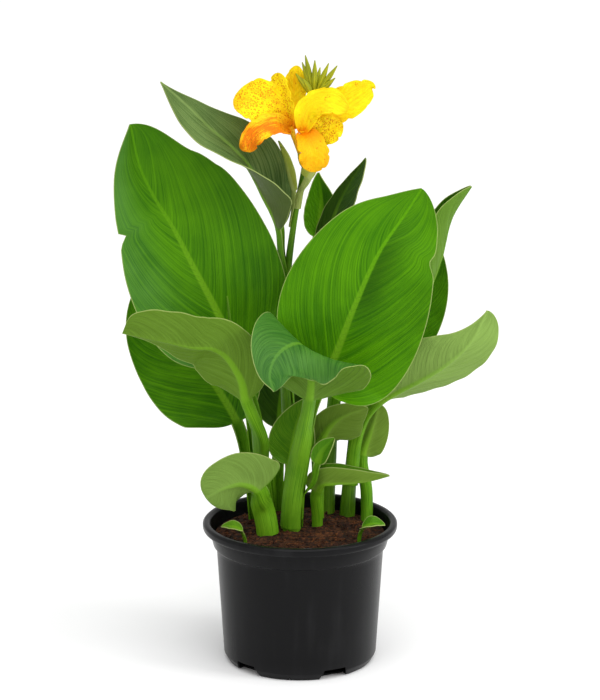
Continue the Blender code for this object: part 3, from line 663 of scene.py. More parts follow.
@dataclass
class Sheet:
    """A leaf or a petal: a stalk that may clasp a stem, then a blade, in one thin curved sheet.

    rib holds the blade's midrib, from its base to its tip, and stalk the points before it. faces are the
    directions that the upper side looks in, at the blade's base, middle and tip. widths are the greatest
    half widths left and right of the rib. folds give, for each half, the angle at which it leaves the rib
    and the angle at its margin, in degrees, and tip_folds the same at the tip. widest is where along the
    blade it is widest and tip_power how soft its tip is, both for the left and the right half. wave and
    ripple are the height and the number of the blade's slow waves and of its margin's ruffles.
    """

    node: str
    finish: LeafFinish | PetalFinish
    rib: Sequence[Point]
    faces: Sequence[Point]
    widths: tuple[float, float]
    folds: tuple = ((5, 20), (5, 20))
    tip_folds: tuple | None = None
    sheath: Sheath | None = None
    stalk: Sequence[Point] = ()
    stalk_width: float = 6.0
    stalk_curl: float = 70.0
    rib_size: tuple[float, float] = (4.0, 1.2)
    widest: tuple[float, float] = (0.42, 0.42)
    tip_power: tuple[float, float] = (0.85, 0.85)
    wave: tuple[float, float] = (0.0, 2.0)
    ripple: tuple[float, float] = (0.6, 7.0)
    furrow: float = 0.22
    edge: float = 0.9
    rows: int = 110
    columns: int = 56
    slot: str = "leaf"
    nicks: Sequence[Nick] = ()
    seed: float = 1.0

    def __post_init__(self) -> None:
        """Lays the midrib and finds where the sheath and the stalk end."""
        foot, self.clasp_radius, self.clasp = [], 0.0, 0.0
        start_face = self.faces[0]
        if self.sheath is not None:
            stem, azimuth = self.sheath.stem, math.radians(self.sheath.side)
            self.clasp = math.radians(self.sheath.turn)
            outward = np.array([math.cos(azimuth), math.sin(azimuth), 0.0])
            for height in np.linspace(*self.sheath.heights, 3):
                distance = stem.distance_at(height)
                radius = stem.radius(distance) * SLACK + GAP
                self.clasp_radius = max(self.clasp_radius, radius)
                foot.append(stem.route.at(distance) + outward * radius)
            start_face = -outward
        points = foot + list(self.stalk) + list(self.rib)
        self.route = Route(points)
        self.has_stalk = len(points) > len(self.rib)
        self.blade_start = self.route.knot(len(points) - len(self.rib))
        self.clasp_end = self.route.knot(len(foot) - 1) if foot else 0.0
        length = self.route.length
        middle = (self.blade_start + length) / 2
        self.face_stops = [self.clasp_end, max(self.blade_start, 1e-6), middle, length]
        self.face_list = np.array([unit(face) for face in (start_face, *self.faces)])
        self.rib_stops = [self.clasp_end, max(self.blade_start, 1e-6), length]
        self.rib_thickness = [SHEATH_RIB if foot else self.rib_size[0], *self.rib_size]

    def profile(self, share: np.ndarray, half: int) -> np.ndarray:
        """A half's width along the blade, as a part of its greatest."""
        u = np.clip(share, 0.0, 1.0)
        widest, tip = self.widest[half], self.tip_power[half]
        return (u / widest) ** (tip * widest / (1 - widest)) * ((1 - u) / (1 - widest)) ** tip

    def section(self, distances: np.ndarray, half: int) -> tuple[np.ndarray, np.ndarray, np.ndarray]:
        """The cross-section of one half.

        Args:
            distances: Where along the sheet.
            half: 0 for the left half, 1 for the right.

        Returns:
            The half width, the angle at the rib and the angle at the margin.
        """
        length = self.route.length - self.blade_start
        share = (distances - self.blade_start) / length
        u = np.clip(share, 0.0, 1.0)
        ease = np.minimum(u / OPENING, 1.0)
        fold = np.radians(self.folds)[half]
        tip = np.radians(self.folds if self.tip_folds is None else self.tip_folds)[half]
        curl = math.radians(self.stalk_curl)
        width = self.stalk_width * (1 - u) ** 2 + self.widths[half] * self.profile(share, half) + LEAST
        for nick in self.nicks:
            if nick.half == half:
                off = (share - nick.share) / nick.span
                dip = np.clip(1 + off, 0, 1) * (off < 0) if nick.tear else np.exp(-(off**2) * 3)
                width = width - nick.depth * dip
        start = (fold[0] * (1 - u) + tip[0] * u) * ease
        end = curl * (1 - ease) + (fold[1] * (1 - u) + tip[1] * u) * ease
        t = np.clip((distances - self.clasp_end) / max(self.blade_start - self.clasp_end, 1e-6), 0.0, 1.0)
        t = t * t * (3 - 2 * t)
        foot_width = self.clasp_radius * self.clasp if self.clasp_end else self.stalk_width
        foot_curl = self.clasp if self.clasp_end else curl
        on_stalk = share < 0
        stalk = foot_width * (1 - t) + (self.stalk_width + LEAST * (t > 0)) * t
        width = np.where(on_stalk, stalk, width)
        start = np.where(on_stalk, 0.0, start)
        end = np.where(on_stalk, foot_curl * (1 - t) + curl * t, end)
        return width, start, end

    def surface(self, depth: float) -> tuple[np.ndarray, Layers]:
        """Works out one face of the sheet.

        Args:
            depth: 0 for the upper face, 1 for the lower.

        Returns:
            The places in millimetres, by row and column, and the values that the finish reads.
        """
        blade_rows = self.rows if not self.has_stalk else int(self.rows * BLADE_ROWS)
        ends = 0.5 - 0.5 * np.cos(np.pi * np.linspace(0, 1, blade_rows))
        length = self.route.length - self.blade_start
        distances = self.blade_start + length * ends
        if self.has_stalk:
            before = np.linspace(0, self.blade_start, self.rows - blade_rows + 1)[:-1]
            distances = np.concatenate([before, distances])
        share = (distances - self.blade_start) / length
        v = np.linspace(-1, 1, self.columns)
        q = np.abs(v)
        centre, along = self.route.at(distances), self.route.direction(distances)
        turns = [np.interp(distances, self.face_stops, self.face_list[:, k]) for k in range(3)]
        facing = np.stack(turns, axis=1)
        facing -= along * np.sum(facing * along, axis=1, keepdims=True)
        facing /= np.linalg.norm(facing, axis=1, keepdims=True)
        right = np.cross(along, facing)
        left_half, right_half = self.section(distances, 0), self.section(distances, 1)
        width, start, end = (np.where(v >= 0, r[:, None], l[:, None]) for l, r in zip(left_half, right_half))
        turn = end - start
        turn = np.where(np.abs(turn) < 1e-3, 1e-3, turn)
        angle = start + turn * q
        out = width * (np.sin(angle) - np.sin(start)) / turn
        up = width * (np.cos(start) - np.cos(angle)) / turn
        blade = np.clip(share, 0, 1)[:, None]
        half = (v >= 0).astype(float)
        shape = np.where(half > 0, self.profile(share, 1)[:, None], self.profile(share, 0)[:, None])
        shape = shape * (share[:, None] > 0)
        up = up + self.wave[0] * np.sin(2 * np.pi * self.wave[1] * blade + 1.3 * half) * q**2 * shape
        ruffle = np.sin(2 * np.pi * self.ripple[1] * blade + 2.1 * half + self.seed)
        up = up + self.ripple[0] * ruffle * q**4 * shape
        flow = blade - 0.34 * q**VEIN_BEND
        crease = np.sin(2 * np.pi * COARSE * flow + self.seed * 3)
        crease = crease + 0.6 * np.sin(2 * np.pi * FINE * flow + self.seed)
        up = up + self.furrow * crease * np.sqrt(np.clip(q * (1 - q) * 4, 0, 1)) * shape
        sign = np.where(v >= 0, 1.0, -1.0)
        normal = facing[:, None] * np.cos(angle)[..., None]
        normal = normal - right[:, None] * (sign * np.sin(angle))[..., None]
        rib = np.interp(distances, self.rib_stops, self.rib_thickness)[:, None]
        spread = np.maximum(rib, 2.0) * 1.1
        thick = self.edge + (rib - self.edge) * np.exp(-((q * width / spread) ** 2))
        place = centre[:, None] + right[:, None] * (sign * out)[..., None] + facing[:, None] * up[..., None]
        place = place - normal * (thick * depth)[..., None]
        if depth == 0.0:
            groove = GROOVE_DEPTH * np.exp(-((q * width / GROOVE_WIDTH) ** 2)) * blade
            place = place - normal * groove[..., None]
        shares = np.broadcast_to(share[:, None], width.shape)
        seeds = np.full(width.shape, self.seed)
        layers = {
            "blade": np.stack([np.broadcast_to(v, width.shape), shares, seeds], axis=-1),
            "span": np.stack([q * width, (1 - q) * width, width], axis=-1),
        }
        return place, layers

    def add_to(self, mesh: BMesh, slot: int = 0) -> None:
        """Adds the closed sheet to a bmesh: the upper face, and a copy below it.

        Args:
            mesh: The bmesh.
            slot: The material slot of the upper face. The lower face has the next one.
        """
        vectors = mesh.verts.layers.float_vector
        stores = {name: vectors.get(name) or vectors.new(name) for name in ("blade", "span")}
        upper, rows, columns = grid_sheet(mesh, self.rows, self.columns)
        grid = faces_round(upper)
        copied = bmesh.ops.extrude_face_region(mesh, geom=grid, use_keep_orig=True)["geom"]
        lower = [item for item in copied if isinstance(item, BMVert)]
        flat = {(round(v.co.x, 6), round(v.co.y, 6)): v for v in lower}
        place, layers = self.surface(0.0)
        below, _ = self.surface(1.0)
        for vert, row, column in zip(upper, rows, columns):
            twin = flat[(round(vert.co.x, 6), round(vert.co.y, 6))]
            for name, store in stores.items():
                vert[store] = layers[name][row, column]
                twin[store] = layers[name][row, column]
            vert.co, twin.co = place[row, column] * MM, below[row, column] * MM
        below_and_sides = faces_round(lower)
        paint(grid, slot)
        paint(below_and_sides, slot + 1)
        bmesh.ops.recalc_face_normals(mesh, faces=[*grid, *below_and_sides])

    def build(self) -> None:
        """Makes the piece and dresses it."""
        mesh = bmesh.new()
        self.add_to(mesh)
        materials = [self.finish.material(Side.UPPER), self.finish.material(Side.UNDER)]
        dress(new_piece(f"{self.node}_skin", mesh, materials), self.node)


@dataclass
class SmallSheet(Sheet):
    """A small leaf or bract, on a coarser grid and with gentler ruffles."""

    rows: int = 60
    columns: int = 32
    ripple: tuple[float, float] = (0.15, 3.0)


@dataclass
class NurseryPot:
    """The moulded pot: rolled rim, collar, tapered wall, dished floor and notched foot.

    nick is the small cut at the front of the foot: its angle, half width, height and lean.
    """

    height: float = 140.0
    rim: float = 95.0
    base: float = 75.0
    wall: float = 1.6
    rise: float = 7.0
    pad: float = 24.0
    notches: int = 5
    notch_height: float = 10.0
    notch_degrees: float = 23.0
    nick: tuple = (-98.0, 2.4, 2.2, 2.2)
    rounding: float = 0.7
    steps: int = 180
    finish: PotFinish = PotFinish()

    def profile(self) -> list[tuple[float, float]]:
        """The closed outline of half the pot's section: radius and height."""
        rim, top, base, wall, rise, pad = self.rim, self.height, self.base, self.wall, self.rise, self.pad
        outside = [
            (pad, 0.0), (pad + 3.0, rise), (46.0, rise), (50.0, 0.0), (base - 4.0, 0.0), (base, 7.0),
            (81.5, 111.0), (82.0, 114.5), (84.8, 116.5), (87.2, 126.0), (88.0, 131.0),
            (rim - 1.0, 132.0), (rim, 134.0), (rim, top - 2.0), (rim - 2.0, top),
        ]
        inside = [
            (rim - 5.5, top), (rim - 7.5, top - 2.0), (86.0, 129.0), (82.8, 118.0), (80.2, 114.5),
            (79.8, 111.0), (base - wall, 8.0), (base - 5.0, wall), (51.0, wall), (47.0, rise + wall),
            (pad + 2.0, rise + wall), (pad - 1.0, wall),
        ]
        return outside + inside

    def build(self) -> None:
        """Turns the profile, cuts the notches and dresses the pot."""
        mesh = bmesh.new()
        verts = [mesh.verts.new((r * MM, 0.0, z * MM)) for r, z in self.profile()]
        for a, b in zip(verts, verts[1:]):
            mesh.edges.new((a, b))
        bmesh.ops.bevel(
            mesh, geom=verts[1:-1], offset=self.rounding * MM, affect="VERTICES", segments=3, profile=0.5,
            material=-1, clamp_overlap=True,
        )
        low = mesh.verts.new((0.0, 0.0, 0.0))
        high = mesh.verts.new((0.0, 0.0, self.wall * MM))
        ends = [vert for vert in mesh.verts if len(vert.link_edges) == 1]
        for middle, end in zip((low, high), sorted(ends, key=lambda vert: vert.co.z)):
            mesh.edges.new((middle, end))
        bmesh.ops.spin(
            mesh, geom=[*mesh.verts, *mesh.edges], cent=(0, 0, 0), axis=(0, 0, 1), angle=2 * math.pi,
            steps=self.steps, use_merge=True,
        )
        bmesh.ops.remove_doubles(mesh, verts=mesh.verts, dist=1e-6)
        bmesh.ops.recalc_face_normals(mesh, faces=mesh.faces)
        pot = new_piece("pot_shell", mesh, [self.finish.material()])
        self.cut_notches(pot)
        dress(pot, "pot")

    def cut_notches(self, pot: Object) -> None:
        """Opens the drain notches in the foot, and the small nick of the mould at the front.

        Args:
            pot: The turned pot.
        """
        wide = math.tan(math.radians(self.notch_degrees / 2)) * self.base
        blocks = [(-135 + 360 / self.notches * k, wide, self.notch_height, 4.0) for k in range(self.notches)]
        blocks.append(self.nick)
        cutters = []
        for degrees, half, height, lean in blocks:
            mesh = bmesh.new()
            for vert in bmesh.ops.create_cube(mesh, size=1.0)["verts"]:
                low = vert.co.z < 0
                width = half * 1.05 if low else half - lean
                vert.co.x = (self.base - 13.0 + (vert.co.x + 0.5) * 24.0) * MM
                vert.co.y = (width if vert.co.y > 0 else -width) * MM
                vert.co.z = (-3.0 if low else height) * MM
            bmesh.ops.rotate(mesh, verts=mesh.verts, matrix=Matrix.Rotation(math.radians(degrees), 3, "Z"))
            cutters.append(new_piece("notch", mesh, []))
        group = bpy.data.collections.new("notches")
        for cutter in cutters:
            group.objects.link(cutter)
        cut = pot.modifiers.new("notches", "BOOLEAN")
        cut.operation, cut.solver = "DIFFERENCE", "EXACT"
        cut.operand_type, cut.collection = "COLLECTION", group
        shaped = bpy.data.meshes.new_from_object(pot.evaluated_get(bpy.context.evaluated_depsgraph_get()))
        pot.modifiers.clear()
        pot.data = shaped
        pot.data.shade_smooth()
        pot.data.set_sharp_from_angle(angle=math.radians(CUT_SHARP))
        for cutter in cutters:
            bpy.data.objects.remove(cutter)
        bpy.data.collections.remove(group)


@dataclass
class Peat:
    """The soil: a rough mound with loose crumbs and fibres."""

    top: float = 128.0
    radius: float = 83.0
    bottom: float = 9.1
    rings: int = 90
    sides: int = 200
    crumbs: int = 520
    fibres: int = 130
    seed: int = 8
    finish: PeatFinish = PeatFinish()

    def height(self, x: float, y: float) -> float:
        """The ground's height at a place, in millimetres."""
        share = min(math.hypot(x, y) / self.radius, 1.0)
        rough = noise.fractal(Vector((x, y, 3.0)) * 0.11, 0.9, 2.1, 5) * 1.5
        lumps = noise.noise(Vector((x, y, 9.0)) * 0.035) * 1.6
        return self.top + 2.0 * (1 - share**2) + (rough + lumps) * (1 - share**8) - 2.0 * share**10

    def build(self) -> None:
        """Makes the ground with its crumbs and fibres, and dresses it."""
        mesh = bmesh.new()
        verts, rows, columns = grid_sheet(mesh, self.rings, self.sides + 1)
        walls = [(self.radius, 0.0), (81.6, 118.0), (79.2, 114.0), (78.8, 110.0), (72.5, self.bottom)]
        walls.append((0.0, self.bottom))
        tops = self.rings - len(walls)
        for vert, row, column in zip(verts, rows, columns):
            angle = 2 * math.pi * (column % self.sides) / self.sides
            radius = self.radius * row / tops if row <= tops else walls[row - tops][0]
            x, y = radius * math.cos(angle), radius * math.sin(angle)
            z = self.height(x, y) if row <= tops else walls[row - tops][1]
            vert.co = (x * MM, y * MM, z * MM)
        bmesh.ops.remove_doubles(mesh, verts=mesh.verts, dist=1e-7)
        bmesh.ops.recalc_face_normals(mesh, faces=mesh.faces)
        generator = np.random.default_rng(self.seed)
        self.scatter_crumbs(mesh, generator)
        self.scatter_fibres(mesh, generator)
        materials = [self.finish.material("peat"), self.finish.material("peat_crumb", 0.12),
                     self.finish.material("peat_fibre", 0.5)]
        dress(new_piece("soil_ground", mesh, materials, 60.0), "soil")

    def spot(self, generator: np.random.Generator) -> tuple[float, float, float]:
        """A random place on the ground."""
        radius = (self.radius - 4.0) * math.sqrt(generator.uniform())
        angle = generator.uniform(0, 2 * math.pi)
        x, y = radius * math.cos(angle), radius * math.sin(angle)
        return x, y, self.height(x, y)

    def scatter_crumbs(self, mesh: BMesh, generator: np.random.Generator) -> None:
        """Adds lumpy crumbs, half sunk in the ground.

        Args:
            mesh: The bmesh.
            generator: The random numbers.
        """
        for _ in range(self.crumbs):
            x, y, z = self.spot(generator)
            size = generator.uniform(0.5, 1.0) ** 2 * 2.2
            verts = bmesh.ops.create_icosphere(mesh, subdivisions=1, radius=1.0)["verts"]
            scale = generator.uniform(0.6, 1.3, 3) * size
            for vert in verts:
                bump = 1 + 0.35 * noise.noise(vert.co * 2.0 + Vector((x, y, z)))
                vert.co = Vector([c * s * bump for c, s in zip(vert.co, scale)])
                vert.co = (vert.co + Vector((x, y, z + size * 0.2))) * MM
            paint(faces_round(verts), 1)

    def scatter_fibres(self, mesh: BMesh, generator: np.random.Generator) -> None:
        """Adds thin pale fibres that lie on the ground.

        Args:
            mesh: The bmesh.
            generator: The random numbers.
        """
        for _ in range(self.fibres):
            x, y, _ = self.spot(generator)
            length, turn = generator.uniform(3, 9), generator.uniform(0, math.pi)
            cone = {"segments": 4, "radius1": 0.28, "radius2": 0.16, "depth": length}
            verts = bmesh.ops.create_cone(mesh, cap_ends=True, **cone)["verts"]
            for vert in verts:
                reach = vert.co.z
                px = x + reach * math.cos(turn) - vert.co.x * math.sin(turn)
                py = y + reach * math.sin(turn) + vert.co.x * math.cos(turn)
                shrink = min(1.0, (self.radius - 2.0) / max(math.hypot(px, py), 1e-6))
                px, py = px * shrink, py * shrink
                vert.co = Vector((px, py, self.height(px, py) + 0.5 + vert.co.y)) * MM
            paint(faces_round(verts), 2)


@dataclass
class Bloom:
    """A bloom: a floral tube that opens into petals."""

    node: str
    tube: Sequence[Point]
    petals: Sequence[Sheet]

    def build(self) -> None:
        """Makes the bloom and dresses it."""
        mesh = bmesh.new()
        Stem(self.node, self.tube, (1.6, 2.2, 3.4), THROAT, sides=20, rings=16).add_to(mesh)
        materials = [THROAT.material()]
        for petal in self.petals:
            petal.add_to(mesh, len(materials))
            material = petal.finish.material()
            materials += [material, material]
        dress(new_piece(f"{self.node}_petals", mesh, materials, 70.0), self.node)


@dataclass
class BudCluster:
    """The slender buds at the top of the flower stem."""

    base: Point
    tips: Sequence[Point]

    def build(self) -> None:
        """Makes the buds and dresses them."""
        mesh = bmesh.new()
        base = np.array(self.base)
        Stem("knob", [base, base + (0.5, 0, 5.0)], (1.8, 2.2, 1.6), BUD, sides=14, rings=8).add_to(mesh)
        for tip in self.tips:
            tip = np.array(tip, float)
            middle = base + (0.3, 0, 2.5) + (tip - base) * 0.45
            points, radii = [base + (0, 0, 2.0), middle, tip], (1.1, 1.8, 3.0, 2.3, 0.5)
            Stem("bud", points, radii, BUD, sides=14, rings=26, ridges=0.05).add_to(mesh)
        dress(new_piece("buds_cluster", mesh, [BUD.material()]), "buds")


FRESH = LeafFinish("leaf_fresh", (0.02, 0.11, 0.001), (0.08, 0.25, 0.002), (0.09, 0.19, 0.015))
# The great left leaf's finish, with a painted bluish sheen on its left half.
GREAT = LeafFinish("leaf_great", (0.026, 0.125, 0.001), (0.085, 0.265, 0.002), (0.09, 0.19, 0.015),
                   painted_sheen=0.4, veins=44.0, sweep=(0.7, 0.85))
# The great right leaf's finish, with painted shade just right of its rib.
LIGHT = LeafFinish("leaf_light", (0.03, 0.145, 0.001), (0.094, 0.3, 0.001), (0.1, 0.2, 0.015),
                   sweep=(0.9, 0.5), shade=0.7, veins=34.0)
# Leaf green made paler for the leaves in the middle and low down, to make up for the shade on them: the
# leaf's own green with painted light in it.
CENTRE_LIT = LeafFinish("leaf_centre_lit", (0.045, 0.16, 0.003), (0.12, 0.29, 0.01), (0.115, 0.205, 0.018))
# Leaf green darkened for the leaves at the back: the leaf's own green with painted shade in it.
BACK_SHADED = LeafFinish("leaf_back_shaded", (0.012, 0.048, 0.002), (0.042, 0.105, 0.006), (0.07, 0.11, 0.02))
STREAKED = LeafFinish("leaf_streaked", (0.026, 0.078, 0.008), (0.18, 0.27, 0.075), (0.07, 0.105, 0.022),
                      sheen=0.12, sweep=(0.9, 0.9), veins=20.0)
BLUISH = LeafFinish("leaf_bluish", (0.018, 0.1, 0.008), (0.072, 0.215, 0.024), (0.08, 0.17, 0.008),
                    sheen=0.16, veins=22.0)
ARCHED = LeafFinish("leaf_arched", (0.04, 0.16, 0.002), (0.09, 0.26, 0.006), (0.085, 0.17, 0.01))
PALE = LeafFinish("leaf_pale", (0.04, 0.16, 0.003), (0.1, 0.28, 0.01), (0.13, 0.225, 0.035))
SILVER = LeafFinish("leaf_silver", (0.04, 0.16, 0.003), (0.1, 0.28, 0.01), (0.175, 0.29, 0.055))
BRACT = LeafFinish("bract_pale", (0.14, 0.2, 0.02), (0.3, 0.36, 0.06), (0.26, 0.31, 0.04),
                   stalk=(0.2, 0.27, 0.05), rib=(0.38, 0.44, 0.14))
STALK = StemFinish("stem_green", (0.045, 0.15, 0.003), (0.15, 0.33, 0.01))
THROAT = StemFinish("petal_throat", (0.88, 0.36, 0.003), (0.94, 0.62, 0.004))
BUD = StemFinish("bud_green", (0.13, 0.18, 0.006), (0.5, 0.5, 0.015), lines=3.0)
PETAL = PetalFinish("petal_yellow", speckled=1.2, flush=0.15)
CLEAR = PetalFinish("petal_clear", speckled=0.1, flush=-0.1)
FUNNEL = PetalFinish("petal_funnel", (0.95, 0.52, 0.004), (0.93, 0.36, 0.002), speckled=0.2, flush=0.3)
LIP = PetalFinish("petal_lip", (0.95, 0.62, 0.008), (0.84, 0.2, 0.003), (0.93, 0.42, 0.003),
                  speckled=0.9, flush=0.1, grain=(0.52, 0.64))

ROOT = 110.0
FLOWERING = Stem(
    "stem_flowering",
    [(-2, 50, ROOT), (-8, 46, 180), (-14, 36, 280), (-13, 26, 370), (-6, 18, 430), (3, 14, 482), (9, 12, 520),
     (13, 10, 548)],
    (8.0, 7.0, 6.0, 5.0, 4.0, 3.0, 2.2, 1.8),
    STALK,
    rings=140,
)
LEFT = Stem(
    "stem_left",
    [(-32, 28, ROOT), (-36, 24, 160), (-41, 17, 205), (-45, 2, 240), (-54, -14, 285), (-64, -20, 325),
     (-69, -24, 369)],
    (9.0, 8.0, 5.5, 3.2, 2.8, 2.2, 0.8),
    STALK,
    rings=110,
)
FRONT = Stem("stem_front", [(-10, 6, ROOT), (-6, -4, 170), (1, -14, 215)], (10.5, 8.8, 4), STALK)
RIGHT = Stem("stem_right", [(46, 52, ROOT), (50, 54, 170), (55, 56, 212)], (8, 7, 4), STALK)
BACK = Stem("stem_back", [(26, 60, ROOT), (30, 70, 190), (36, 80, 258)], (8, 7, 4), STALK)
SMALL = Stem("stem_small", [(-31, -12, ROOT), (-33, -15, 145), (-36, -18, 162)], (11, 9, 4), STALK)
STEMS = [FLOWERING, LEFT, FRONT, RIGHT, BACK, SMALL]

